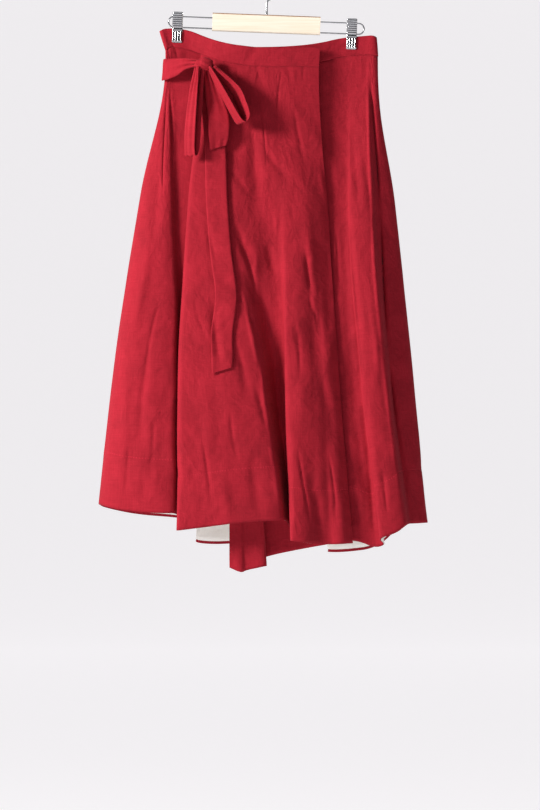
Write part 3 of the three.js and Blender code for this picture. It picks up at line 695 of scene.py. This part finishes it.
backCreases = tableOf(creaseColumns, [
    (-120, -170, -128, -330, 12, -1.8, 0.4),
    (-60, -160, -52, -300, 10, -1.6, 0.4),
    (-30, -300, -44, -520, 18, 2.6, 0),
    (20, -170, 26, -260, 8, -1.4, 0.4),
    (46, -330, 60, -560, 16, -2.8, 0.3),
    (120, -240, 140, -470, 14, -2.4, 0.3),
    (150, -520, 176, -760, 18, 2.6, 0),
    (-150, -420, -176, -690, 18, -2.8, 0.3),
    (-210, -560, -236, -800, 14, 2.2, 0),
    (-60, -620, -72, -820, 14, -2.6, 0.4),
    (10, -640, 6, -860, 16, 2.4, 0),
    (64, -760, 76, -930, 11, -2.4, 0.5),
    (186, -760, 204, -930, 12, -2.2, 0.4),
    (-8, -900, -4, -972, 8, -1.8, 0.4),
    (110, -560, 104, -640, 8, 1.8, 0),
    (-196, -860, -204, -915, 8, -1.6, 0.4),
])


def smoothStep(low, high, value):
    s = np.clip((value - low) / (high - low), 0, 1)
    return s * s * (3 - 2 * s)


def creaseRise(x, z, creases):
    rise = np.zeros_like(x)
    for k in range(len(creases["x0"])):
        start = np.array([creases["x0"][k], creases["z0"][k]])
        line = np.array([creases["x1"][k], creases["z1"][k]]) - start
        length = np.linalg.norm(line)
        s = ((x - start[0]) * line[0] + (z - start[1]) * line[1]) / length ** 2
        side = ((z - start[1]) * line[0] - (x - start[0]) * line[1]) / length
        width = creases["width"][k] * (0.8 + 0.4 * np.sin(2.2 * s + k))
        side = (side + 2.5 * np.sin(3.7 * s + 1.9 * k)) / width
        ends = smoothStep(-0.05, 0.32, s) * smoothStep(1.05, 0.62, s)
        rise += creases["rise"][k] * ends * (1 + creases["lean"][k] * side) * np.exp(-side * side)
    return rise


# Smooth noise from -1 to 1 on a fixed random lattice.
def softNoise(x, z, seed):
    lattice = np.random.default_rng(seed).uniform(-1, 1, (64, 64))
    i, j = np.floor(x).astype(int), np.floor(z).astype(int)
    a, b = x - i, z - j
    a, b = a * a * (3 - 2 * a), b * b * (3 - 2 * b)
    pick = lambda p, q: lattice[np.mod(p, 64), np.mod(q, 64)]
    low = pick(i, j) * (1 - a) + pick(i + 1, j) * a
    high = pick(i, j + 1) * (1 - a) + pick(i + 1, j + 1) * a
    return low * (1 - b) + high * b


crumpleSizes = [(58, 2.3), (31, 1.25), (15, 0.5)]  # size, rise


# Crumple: rounded creases where two noises cross zero, in several sizes.
def crumple(x, z, seed):
    total = np.zeros_like(x)
    for step, (size, rise) in enumerate(crumpleSizes):
        turn = 0.6 + 0.9 * step
        across = (x * math.cos(turn) + z * math.sin(turn)) / size
        down = (z * math.cos(turn) - x * math.sin(turn)) / (size * 1.4)
        ridge = 1 - np.abs(softNoise(across, down, seed + step)) * 2
        total += rise * ridge * (0.5 + 0.5 * softNoise(x / 90, z / 120, seed + 7 + step))
    return total


# Heights between which the cloth comes to hang free and to sway, and the sizes of its long waves.
hangPlan = {
    "free": (-126, -230),
    "low": (-250, -900),
    "front": (8, -8),
    "sway": 1.2,
    "lowSway": 1.4,
    "frontWave": 1.6,
    "backWave": 1.8,
}


# Everything that pushes the cloth in or out. Layers at one place move together, so they never cross.
def creased(points):
    x, y, z = points[..., 0], points[..., 1], points[..., 2]
    loose = smoothStep(*hangPlan["free"], z)
    low = smoothStep(*hangPlan["low"], z)
    front = smoothStep(*hangPlan["front"], y)
    sway = (hangPlan["sway"] + hangPlan["lowSway"] * low) * loose * softNoise(x / 95 + 3, z / 130, 21)
    outFront = creaseRise(x, z, frontCreases) + loose * crumple(x, z, 40)
    outFront += loose * hangPlan["frontWave"] * softNoise(x / 60, z / 210, 5)
    outBack = creaseRise(x, z, backCreases) + loose * crumple(x, z, 70)
    outBack += loose * hangPlan["backWave"] * softNoise(x / 66, z / 200, 9)
    moved = points.copy()
    moved[..., 0] = x + sway
    moved[..., 1] = y - front * outFront + (1 - front) * outBack
    return moved


print("fold tables and creases ready")


# ---- cloth: walls ----

placing = {"steps": 24, "evenShare": 0.55, "rim": 0.6}


# Places along a line of corners, closer where it runs long or turns, with one more beside each end.
def evenPlaces(columnAt, first, last, count):
    fine = np.linspace(first, last, (last - first) * placing["steps"] + 1)
    line = np.array([columnAt(u) for u in fine])
    lengths = np.linalg.norm(np.diff(line, axis=0), axis=-1).mean(axis=-1)
    weights = lengths / lengths.sum() + placing["evenShare"] / len(lengths)
    marks = np.concatenate([[0], np.cumsum(weights)])
    places = np.interp(np.linspace(0, marks[-1], count), marks, fine)
    lead, tail = (placing["rim"] / (lengths[k] * placing["steps"]) for k in (0, -1))
    return np.concatenate([[places[0], places[0] + lead], places[1:-1], [places[-1] - tail, places[-1]]])


def gridNormals(grid):
    return unit(np.cross(np.gradient(grid, axis=0), np.gradient(grid, axis=1)))


# Faces of a closed wall between two grids of points.
def wallFaces(columns, rows):
    face, back = np.arange(2 * columns * rows).reshape(2, columns, rows)
    corners = [
        (face[:-1, :-1], face[1:, :-1], face[1:, 1:], face[:-1, 1:]),
        (back[:-1, :-1], back[:-1, 1:], back[1:, 1:], back[1:, :-1]),
        (back[:-1, 0], back[1:, 0], face[1:, 0], face[:-1, 0]),
        (face[:-1, -1], face[1:, -1], back[1:, -1], back[:-1, -1]),
        (back[0, :-1], face[0, :-1], face[0, 1:], back[0, 1:]),
        (face[-1, :-1], back[-1, :-1], back[-1, 1:], face[-1, 1:]),
    ]
    return np.concatenate([np.stack(quad, axis=-1).reshape(-1, 4) for quad in corners])


# Faces of a tube made of rings of points.
def tubeFaces(rings, sides):
    at = np.arange(rings * sides).reshape(rings, sides)
    beside = np.roll(at, -1, axis=1)
    return np.stack([at[:-1], at[1:], beside[1:], beside[:-1]], axis=-1).reshape(-1, 4)


def toScene(points):
    return (points + np.array([clothSizes["sideShift"], 0, 0])) * mm


def keepGrain(piece, grain):
    threads = piece.data.attributes.new("grain", "FLOAT_VECTOR", "POINT")
    threads.data.foreach_set("vector", grain.reshape(-1))


# Closed wall between two faces of a grid, with its thread directions kept as metres in grain.
def clothPiece(name, outer, inner, material, seed=0, toHem=None):
    columns, rows = outer.shape[:2]
    points = toScene(np.concatenate([outer.reshape(-1, 3), inner.reshape(-1, 3)]))
    piece = newPiece(name, points, wallFaces(columns, rows), material)
    across = runAlong(outer[:, rows // 2]) * mm
    down = np.cumsum(np.linalg.norm(np.diff(outer, axis=1), axis=-1), axis=1) * mm
    down = np.concatenate([np.zeros((columns, 1)), down], axis=1)
    grain = np.zeros((2, columns, rows, 3))
    grain[..., 0] = across[None, :, None]
    grain[..., 1] = down[None]
    grain[..., 2] = seed + np.array([0, 0.5])[:, None, None]
    keepGrain(piece, grain)
    if toHem is not None:
        hemward = piece.data.attributes.new("hemward", "FLOAT", "POINT")
        hemward.data.foreach_set("value", np.stack([toHem, toHem]).reshape(-1) * mm)
    return piece


def clothArea(grid):
    along = np.diff(grid, axis=0)[:, :-1]
    down = np.diff(grid, axis=1)[:-1]
    return np.linalg.norm(np.cross(along, down), axis=-1).sum() * mm * mm


# ---- waistband ----

bandPlan = {
    "rows": 15,
    "bulge": 0.35,  # puffs out between its stitched edges
    "bulgeShape": 0.6,
    "clips": (-156, 150),
    "pinched": (10, 26),  # flat this near a clip, full this far from it
    "seamReach": 0.7,  # closes the seam over the panels
}


def bandGrid(first, last, count):
    heights = np.linspace(0, 1, bandPlan["rows"])
    corners = rimLine[None] + (seamLine - rimLine)[None] * heights[:, None, None]
    columnAt = lambda u: roundedColumn(corners, bandSoftness, u)
    places = evenPlaces(columnAt, first, last, count)
    return creased(np.array([columnAt(u) for u in places]))


def addBand(name, first, last, count):
    grid = bandGrid(first, last, count)
    normals = gridNormals(grid)
    half = clothSizes["layerGap"] / 2
    heights = np.linspace(0, 1, bandPlan["rows"])
    fromClip = np.minimum(*(np.abs(grid[..., 0] - place) for place in bandPlan["clips"]))
    bulge = bandPlan["bulge"] * np.sin(heights * math.pi)[None] ** bandPlan["bulgeShape"]
    bulge = bulge * smoothStep(*bandPlan["pinched"], fromClip)
    reach = np.zeros_like(grid)
    reach[:, -1, 2] = -bandPlan["seamReach"]
    outer = grid + reach + normals * (half + clothSizes["clothWall"] + bulge)[..., None]
    piece = clothPiece(f"waistband{name}Linen", outer, grid + reach + normals * half, redLinen, 1)
    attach(piece, body)
    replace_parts(piece, f"waistband{name}")
    facing, facingNormals = grid[:, :-1], normals[:, :-1]  # ends just above the seam
    lining = clothPiece(f"bandFacing{name}Linen", facing - facingNormals * half,
                        facing - facingNormals * (half + clothSizes["liningWall"]), creamLinen, 2)
    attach(lining, body)
    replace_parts(lining, f"bandLining{name}")
    print(f"waistband {name}: {clothArea(grid):.4f} m2")


addBand("Over", 0, bandLeftAt, 130)
addBand("Back", bandLeftAt, bandRightAt, 170)
addBand("Under", bandRightAt, bandEndAt, 110)


# ---- panels ----

panelPlan = {
    "rows": 150,
    "rowAcross": -8,  # the row near the hem that the puckers run along
    "turnedEdge": 4,  # red shows inside, under the lining's lower edge
    "liningStart": 2,
    "liningRows": 112,
}


def panelGrid(first, last, count, drops):
    corners = np.array([foldCorners(drop) for drop in drops])
    columnAt = lambda u: roundedColumn(corners, folds["soft"], u)
    places = evenPlaces(columnAt, first, last, count)
    return np.array([columnAt(u) for u in places])


# Short puckers across the hem's stitching, and the line that the stitches press in.
def hemRelief(grid):
    down = np.linalg.norm(np.diff(grid, axis=1), axis=-1)
    toHem = np.concatenate([np.cumsum(down[:, ::-1], axis=1)[:, ::-1], np.zeros((len(grid), 1))], axis=1)
    across = runAlong(grid[:, panelPlan["rowAcross"]])
    level = toHem - hemStitch["above"]
    line = -hemStitch["groove"] * np.exp(-(level / hemStitch["grooveWidth"]) ** 2)
    ripples = softNoise(across[:, None] / hemStitch["spacing"] + level * 0.012, level / 60 + 7, 31)
    near = np.exp(-((level - hemStitch["puckerMiddle"]) / hemStitch["puckerReach"]) ** 2)
    edge = hemStitch["allowanceStep"]
    allowance = hemStitch["allowance"] * smoothStep(edge, -edge, level)
    return line + allowance, hemStitch["pucker"] * near * ripples, toHem


def addPanel(name, first, last, count, longer):
    half = clothSizes["layerGap"] / 2
    length = clothSizes["length"]
    drops = np.linspace(0, 1, panelPlan["rows"])
    plain = panelGrid(first, last, count, drops)
    raised, ripples, toHem = hemRelief(plain)
    grid = creased(plain + gridNormals(plain) * ripples[..., None])
    normals = gridNormals(grid)
    turned = smoothStep(0.5, 0.2, (1 - drops) * length / panelPlan["turnedEdge"])
    inside = half - (half * 2 + clothSizes["liningWall"]) * turned[None, :, None]
    outer = grid + normals * (half + clothSizes["clothWall"] + raised)[..., None]
    piece = clothPiece(f"panel{name}Linen", outer, grid + normals * inside, redLinen, first, toHem)
    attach(piece, body)
    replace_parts(piece, f"panel{name}")
    ends = 1 - (panelPlan["turnedEdge"] + 1 - longer(plain[:, -1, 0])) / length
    start = panelPlan["liningStart"] / length
    share = np.linspace(0, 1, panelPlan["liningRows"])
    liningGrid = np.empty((grid.shape[0], len(share), 3))
    liningNormals = np.empty_like(liningGrid)
    for k in range(3):
        for i in range(grid.shape[0]):
            places = start + share * (ends[i] - start)
            liningGrid[i, :, k] = np.interp(places, drops, grid[i, :, k])
            liningNormals[i, :, k] = np.interp(places, drops, normals[i, :, k])
    liningInner = liningGrid - liningNormals * (half + clothSizes["liningWall"])
    lining = clothPiece(f"lining{name}Linen", liningGrid - liningNormals * half, liningInner,
                        creamLinen, first + 3)
    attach(lining, body)
    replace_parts(lining, f"lining{name}")
    rowHeight = length / (panelPlan["rows"] - 1) * mm
    print(f"panel {name}: {clothArea(grid):.3f} m2, hem {clothArea(grid[:, -2:]) / rowHeight:.3f} m")


# How far the lining drops lower than usual, by the place along the hem.
def between(x, start, end, reach):
    return reach * smoothStep(start - 8, start + 4, x) * smoothStep(end + 8, end - 4, x)


addPanel("FrontOver", 0, foldLeftAt, 300,
         lambda x: between(x, -6, 34, 7.5) + between(x, 44, 82, 8.5) + between(x, -262, -205, 6.5))
addPanel("Back", foldLeftAt, foldRightAt, 220, np.zeros_like)
addPanel("FrontUnder", foldRightAt, foldEndAt, 212, lambda x: between(x, 188, 208, 8))
print("panels hung")


# ---- tie ----
# x y z: middle of the tie. acrossX acrossY acrossZ: direction over its width. width: share of the whole.

tiePlan = {
    "width": 38,
    "wall": 2.0,
    "stepsAcross": 17,
    "gather": 3.4,  # depth of the small pleats where it goes into the knot
    "rolled": 0.8,  # edges curl back this much
}
tieColumns = "x y z acrossX acrossY acrossZ width"
tieStrips = {
    "tieBelt": {"steps": 60, "flat": (0.038, 0.080), "held": "stretched", "twist": 0.5, "rows": [
        (-180.6, -2, -158, 0.06, 0, 1, 1),
        (-179.4, -8, -158, 0.06, 0, 1, 1),
        (-172, -14, -157, 0, 0, 1, 0.95),
        (-156, -20, -154, 0, 0, 1, 0.8),
        (-139, -29, -149, 0, 0, 1, 0.5),
        (-118, -42, -148, 0, 0, 1, 0.3),
    ]},
    "tieLoopLeft": {"steps": 120, "flat": (0.036, 0.30), "held": "folded", "twist": 1.3, "rows": [
        (-119, -48, -156, 0.6, -0.78, 0.2, 0.3),
        (-126, -55, -200, 0.68, -0.73, 0, 0.58),
        (-132, -60, -250, 0.7, -0.71, 0, 0.68),
        (-134, -62, -296, 0.7, -0.71, 0, 0.7),
        (-132, -60, -311, 0.7, -0.71, 0, 0.7),
        (-127, -57, -298, 0.7, -0.71, 0, 0.7),
        (-124, -54, -250, 0.7, -0.71, 0, 0.68),
        (-118, -49, -200, 0.68, -0.73, 0, 0.56),
        (-112, -45, -158, 0.6, -0.78, 0.2, 0.3),
    ]},
    "tieLoopRight": {"steps": 130, "flat": (0.036, 0.237), "held": "folded", "twist": 2.1, "rows": [
        (-98, -51, -155, 0.3, -0.93, 0.2, 0.3),
        (-84, -59, -184, 0.3, -0.93, 0.2, 0.62),
        (-70, -63, -212, 0.3, -0.93, 0.15, 0.76),
        (-55, -64, -240, 0.35, -0.92, 0.1, 0.8),
        (-44, -64, -254, 0.45, -0.88, 0.1, 0.8),
        (-38, -63, -244, 0.52, -0.83, 0.2, 0.8),
        (-44, -62, -222, 0.56, -0.76, 0.3, 0.78),
        (-56, -58, -194, 0.6, -0.7, 0.36, 0.66),
        (-93, -50, -156, 0.7, -0.6, 0.4, 0.34),
    ]},
    "tieTailShort": {"steps": 70, "flat": (0.038, 0.15), "held": "hung", "twist": 0.9, "rows": [
        (-104, -42, -154, 1, -0.1, 0, 0.3),
        (-92, -44, -205, 1, -0.1, 0, 0.74),
        (-84, -50, -240, 1, 0, 0, 0.95),
        (-83, -53, -272, 1, 0.1, 0, 0.95),
        (-84, -52, -297, 1, 0.1, 0.3, 0.8),
    ]},
    "tieTailLong": {"steps": 190, "flat": (0.038, 0.55), "held": "hung", "twist": 1.7, "rows": [
        (-110, -38, -156, 1, 0, 0, 0.3),
        (-100, -36, -215, 1, 0, 0, 0.75),
        (-90, -47, -290, 1, 0, 0, 0.95),
        (-87, -55.5, -388, 1, 0, 0, 1),
        (-80, -60, -476, 1, 0, 0, 1),
        (-70, -63, -555, 1, 0, 0, 1),
        (-76, -66, -620, 1, 0, 0, 1),
        (-75, -69, -660, 1, 0.05, 0, 1),
        (-76, -70, -687, 1, 0, 0.3, 0.98),
    ]},
}


# Smooth curve through points that passes each one at an even share of its length.
def curveThrough(points, count):
    ends = np.concatenate([[2 * points[0] - points[1]], points, [2 * points[-1] - points[-2]]])
    line = []
    for place in np.linspace(0, len(points) - 1, count):
        k = min(int(place), len(points) - 2)
        s = place - k
        a, b, c, d = ends[k:k + 4]
        line.append(0.5 * (2 * b + (c - a) * s + (2 * a - 5 * b + 4 * c - d) * s * s
                           + (3 * b - a - 3 * c + d) * s ** 3))
    return np.array(line)


def stripGrid(strip):
    rows = tableOf(tieColumns, strip["rows"])
    middle = curveThrough(np.stack([rows["x"], rows["y"], rows["z"]], axis=-1), strip["steps"])
    across = unit(np.stack([rows["acrossX"], rows["acrossY"], rows["acrossZ"]], axis=-1))
    half = curveThrough(across * rows["width"][:, None] * tiePlan["width"] / 2, strip["steps"])
    normal = unit(np.cross(np.gradient(middle, axis=0), half))
    width = np.linalg.norm(half, axis=-1) * 2 / tiePlan["width"]
    over = np.linspace(-1, 1, tiePlan["stepsAcross"])
    run = np.linspace(0, 1, strip["steps"])
    pleats = np.sin(over * 7.2 + strip["twist"])[None] * (1 - width)[:, None] * tiePlan["gather"]
    curl = tiePlan["rolled"] * over[None] ** 2 * np.sin(run * 9 + strip["twist"])[:, None]
    ripple = 0.7 * softNoise(run[:, None] * strip["steps"] / 9 + 2, over[None] * 1.3 + strip["twist"], 17)
    lift = pleats + curl + ripple * np.minimum(1, width)[:, None]
    return middle[:, None] + half[:, None] * over[None, :, None] + normal[:, None] * lift[..., None]


# Wall that thins toward its two long edges.
def softStrip(name, grid, wall, material, seed):
    normals = gridNormals(grid)
    over = np.linspace(-1, 1, grid.shape[1])
    thick = wall / 2 * (0.35 + 0.65 * np.sqrt(1 - np.abs(over) ** 6))
    out = normals * thick[None, :, None]
    return clothPiece(name, grid + out, grid - out, material, seed)


knotPlan = {"centre": (-108, -44, -151), "radii": (17, 9, 13), "around": 72, "down": 44}


# Knot: the tie wrapped once round itself, pulled in at its middle.
def makeKnot():
    turns = np.linspace(0, 2 * math.pi, knotPlan["around"], endpoint=False)
    tilts = np.linspace(0, math.pi, knotPlan["down"])
    turn, tilt = np.meshgrid(turns, tilts)
    x, y, z = np.cos(turn) * np.sin(tilt), np.sin(turn) * np.sin(tilt), np.cos(tilt)
    slant = x * 0.5 + z
    folds = 0.05 * np.sin(slant * 8.5 + 0.6 * np.sin(x * 4)) * (1 - 0.5 * np.abs(z))
    pinch = -0.16 * np.exp(-((x + 0.55) / 0.22) ** 2 - ((z - 0.5) / 0.45) ** 2) * (y < 0.3)
    grow = 0.97 + folds + pinch + 0.03 * softNoise(x * 3 + 5, z * 3 + 9, 12)
    points = np.stack([x, y, z], axis=-1) * grow[..., None] * np.array(knotPlan["radii"])
    points = toScene(creased(points + np.array(knotPlan["centre"])))
    faces = tubeFaces(knotPlan["down"], knotPlan["around"])
    piece = newPiece("tieKnotLinen", points.reshape(-1, 3), faces, redLinen)
    grain = np.stack([turn * 0.013, tilt * 0.012, np.full_like(turn, 4)], axis=-1)
    keepGrain(piece, grain)
    cleanPoles(piece)
    return piece


def cleanPoles(piece):
    work = bmesh.new()
    work.from_mesh(piece.data)
    bmesh.ops.remove_doubles(work, verts=work.verts, dist=1e-6)
    bmesh.ops.recalc_face_normals(work, faces=work.faces)
    work.to_mesh(piece.data)
    work.free()


knot = makeKnot()
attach(knot, body)
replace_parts(knot, "tieKnot")
for number, (node, strip) in enumerate(tieStrips.items()):
    grid = creased(stripGrid(strip))
    piece = softStrip(f"{node}Linen", grid, tiePlan["wall"], redLinen, 20 + number)
    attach(piece, body)
    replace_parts(piece, node)
    centreLine = grid[:, tiePlan["stepsAcross"] // 2]
    print(f"{node}: {clothArea(grid):.4f} m2, {runAlong(centreLine)[-1]:.0f} mm long")
print("bow tied")


# ---- hanger ----

hangerPlan = {
    "tilt": math.radians(2.2),
    "barLength": 190,
    "barTop": -61,
    "wireRadius": 1.3,
    "wireReach": 172,
    "wireTop": -70,
    "wireSpacing": 19,
    "wireSeat": 25,
    "hookRadius": 1.8,
    "hookSeat": 12,
    "hookBend": 16,
    "hookNeck": 22,
    "hookStart": -60,
    "hookEnd": 190,
    "hookStep": 20,
}


# From the hanger's own upright place to its tilted place, in metres.
def hung(points):
    points = np.asarray(points, float)
    cosine, sine = math.cos(hangerPlan["tilt"]), math.sin(hangerPlan["tilt"])
    x, y, z = points[..., 0], points[..., 1], points[..., 2]
    return np.stack([x * cosine + z * sine, y, z * cosine - x * sine], axis=-1) * mm


def wirePiece(name, path, radius, sides, material):
    tangents = unit(np.gradient(path, axis=0))
    side = np.cross(tangents, np.array([0.0, 1.0, 0.0]))
    small = np.linalg.norm(side, axis=-1, keepdims=True) < 0.3
    side = unit(np.where(small, np.cross(tangents, np.array([1.0, 0.0, 0.0])), side))
    other = np.cross(tangents, side)
    turns = np.linspace(0, 2 * math.pi, sides, endpoint=False)
    rings = []
    for share, k in [(0.0, 0), (0.7, 0)] + [(1, k) for k in range(len(path))] + [(0.7, -1), (0.0, -1)]:
        pull = radius * (1 - share) * 0.5
        centre = path[k] + tangents[k] * (pull if k == -1 else -pull)
        rings.append([centre + (side[k] * math.cos(a) + other[k] * math.sin(a)) * radius * share
                      for a in turns])
    points = hung(np.array(rings).reshape(-1, 3))
    piece = newPiece(name, points, tubeFaces(len(rings), sides), material)
    cleanPoles(piece)
    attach(piece, body)
    return piece


def hookLine():
    bend = hangerPlan["hookBend"] + hangerPlan["hookRadius"]
    top = hangerPlan["barTop"]
    points = [(0, 0, top - hangerPlan["hookSeat"]), (0, 0, top), (0, 0, top + hangerPlan["hookNeck"])]
    for turn in range(hangerPlan["hookStart"], hangerPlan["hookEnd"] + 1, hangerPlan["hookStep"]):
        angle = math.radians(turn)
        points.append((math.cos(angle) * bend, 0, math.sin(angle) * bend - hangerPlan["hookBend"]))
    return curveThrough(np.array(points, float), 150)


def bentWireLine(side):
    bend = hangerPlan["wireSpacing"] / 2
    inner = hangerPlan["barLength"] / 2 - hangerPlan["wireSeat"]
    outer = hangerPlan["wireReach"] - bend
    top = hangerPlan["wireTop"]
    turns = np.linspace(math.pi / 2, -math.pi / 2, 25)
    arm = np.linspace(inner, outer, 12)[:-1]
    upper = [(x, 0, top) for x in arm]
    bent = [(outer + math.cos(a) * bend, 0, top - bend + math.sin(a) * bend) for a in turns]
    lower = [(x, 0, top - 2 * bend) for x in arm[::-1]]
    return np.array(upper + bent + lower) * np.array([side, 1, 1])


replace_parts(wirePiece("hookWire", hookLine(), hangerPlan["hookRadius"], 16, chrome), "hangerHook")
for sideName, side in (("Left", -1), ("Right", 1)):
    wire = wirePiece(f"bentWire{sideName}", bentWireLine(side), hangerPlan["wireRadius"], 14, chrome)
    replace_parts(wire, f"hangerWire{sideName}")

clipPlan = {
    "leftX": -156,
    "rightX": 150.5,
    "width": 18,
    "top": -62,
    "foot": -116,
    "nip": -93,
    "wall": 1.3,
    "gap": 3.25,
    "flare": 4.9,
    "ribRise": 1.5,
    "ribPitch": 3.6,
    "ribsDown": 4,
    "corner": 2.0,
    "coilTurns": 9,
    "coilWidth": 13,
    "coilRadius": 3.9,
    "coilWire": 0.55,
    "coilSteps": 22,
    "pinRadius": 2.4,
    "pinReach": 8,
    "aboveWire": 4.4,
    "wireGap": 0.3,
}


# Pressed jaw plate: ribs across the finger end, ribs down the gripping end.
def makeJaw(name, middleX, facing):
    width, top, foot, nip = (clipPlan[key] for key in ("width", "top", "foot", "nip"))
    across = np.linspace(-1, 1, 61)
    down = np.linspace(0, 1, 91)
    z = top + (foot - top) * down
    out = clipPlan["gap"] + clipPlan["flare"] * np.clip((z - nip) / (top - nip), 0, 1)
    out = out + 0.5 * np.exp(-((z - nip) / 2.5) ** 2)
    fromEnd = np.minimum(z - foot, top - z)
    inset = clipPlan["corner"] - np.sqrt(np.maximum(0, clipPlan["corner"] ** 2
                                                    - np.maximum(0, clipPlan["corner"] - fromEnd) ** 2))
    half = width / 2 - inset
    grid = np.zeros((len(across), len(down), 3))
    grid[..., 0] = across[:, None] * half[None]
    grid[..., 1] = out[None]
    grid[..., 2] = z[None]
    within = smoothStep(1, 0.86, np.abs(across))[:, None]
    upper = smoothStep(nip + 3, nip + 5, z) * smoothStep(top - 1.5, top - 3, z)
    lower = smoothStep(nip - 2.5, nip - 4.5, z) * smoothStep(foot + 1.2, foot + 3, z)
    cross = 0.5 - 0.5 * np.cos((z - nip) * 2 * math.pi / clipPlan["ribPitch"])
    length = np.abs(np.sin(across * clipPlan["ribsDown"] * math.pi / 2)) ** 0.8
    rise = within * clipPlan["ribRise"] * (upper * cross)[None]
    rise = rise + clipPlan["ribRise"] * length[:, None] * lower[None]
    rolled = 0.9 * smoothStep(0.86, 1, np.abs(across))[:, None] * smoothStep(nip - 6, nip + 4, z)[None]
    outer = grid + np.array([0, 1, 0]) * (clipPlan["wall"] + rise - rolled)[..., None]
    inner = grid - np.array([0, 1, 0]) * rolled[..., None]
    turn = np.array([facing, facing, 1])
    place = np.array([middleX, 0, 0])
    points = np.concatenate([outer.reshape(-1, 3), inner.reshape(-1, 3)]) * turn + place
    piece = newPiece(name, hung(points), wallFaces(len(across), len(down)), chrome)
    cleanPoles(piece)
    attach(piece, body)
    return piece


def addClip(sideName, middleX):
    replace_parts(makeJaw(f"jaw{sideName}Front", middleX, -1), f"clip{sideName}JawFront")
    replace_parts(makeJaw(f"jaw{sideName}Back", middleX, 1), f"clip{sideName}JawBack")
    wireZ = hangerPlan["wireTop"] - hangerPlan["wireSpacing"] + hangerPlan["wireRadius"]
    centreZ = wireZ + clipPlan["wireGap"] + clipPlan["aboveWire"]
    coils = clipPlan["coilTurns"]
    turns = np.linspace(0, coils * 2 * math.pi, coils * clipPlan["coilSteps"])
    radius = clipPlan["coilRadius"]
    x = middleX + (turns / turns[-1] - 0.5) * clipPlan["coilWidth"]
    path = np.stack([x, np.cos(turns) * radius, centreZ + np.sin(turns) * radius], axis=-1)
    coil = wirePiece(f"spring{sideName}", path, clipPlan["coilWire"], 8, chrome)
    reach = clipPlan["pinReach"]
    pinLine = np.array([(middleX + x, 0, centreZ) for x in np.linspace(-reach, reach, 9)])
    wirePiece(f"springPin{sideName}", pinLine, clipPlan["pinRadius"], 18, chrome)
    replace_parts(coil, f"clip{sideName}Spring")


addClip("Left", clipPlan["leftX"])
addClip("Right", clipPlan["rightX"])


def barWoodMaterial():
    material, tree, shader = newMaterial("barWood")
    place = tree.nodes.new("ShaderNodeTexCoord")
    grain = stretchedNoise(tree, place.outputs["Object"], (9, 160, 260), 5)
    fibres = stretchedNoise(tree, place.outputs["Object"], (40, 900, 1500), 3)
    mixed = mathNode(tree, "MULTIPLY_ADD", mathNode(tree, "SUBTRACT", fibres, 0.5), 0.35, grain)
    stops = [(0.3, (0.84, 0.72, 0.56)), (0.55, (0.90, 0.80, 0.66)), (0.8, (0.93, 0.85, 0.72))]
    surface = tree.nodes.new("ShaderNodeNewGeometry")
    apart = tree.nodes.new("ShaderNodeSeparateXYZ")
    tree.links.new(surface.outputs["Normal"], apart.inputs[0])
    # Faces turned upward are painted a darker brown, which shows as a thin line along the bar's top edge.
    topEdge = mathNode(tree, "GREATER_THAN", apart.outputs["Z"], 0.35)
    upFacingBrown = tree.nodes.new("ShaderNodeMix")
    upFacingBrown.data_type = "RGBA"
    upFacingBrown.inputs["B"].default_value = (0.36, 0.19, 0.09, 1)  # darker top edge
    tree.links.new(topEdge, upFacingBrown.inputs["Factor"])
    tree.links.new(rampBetween(tree, mixed, stops), upFacingBrown.inputs["A"])
    tree.links.new(upFacingBrown.outputs["Result"], shader.inputs["Base Color"])
    tree.links.new(mathNode(tree, "MULTIPLY_ADD", fibres, 0.2, 0.36), shader.inputs["Roughness"])
    tree.links.new(bumpOver(tree, mixed, 0.0004, 0.25), shader.inputs["Normal"])
    shader.inputs["Coat Weight"].default_value = 0.15
    return material


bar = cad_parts["hangerBar"]
barWood = barWoodMaterial()
for materialSlot in bar.material_slots:
    materialSlot.material = barWood
print("hanger ready")
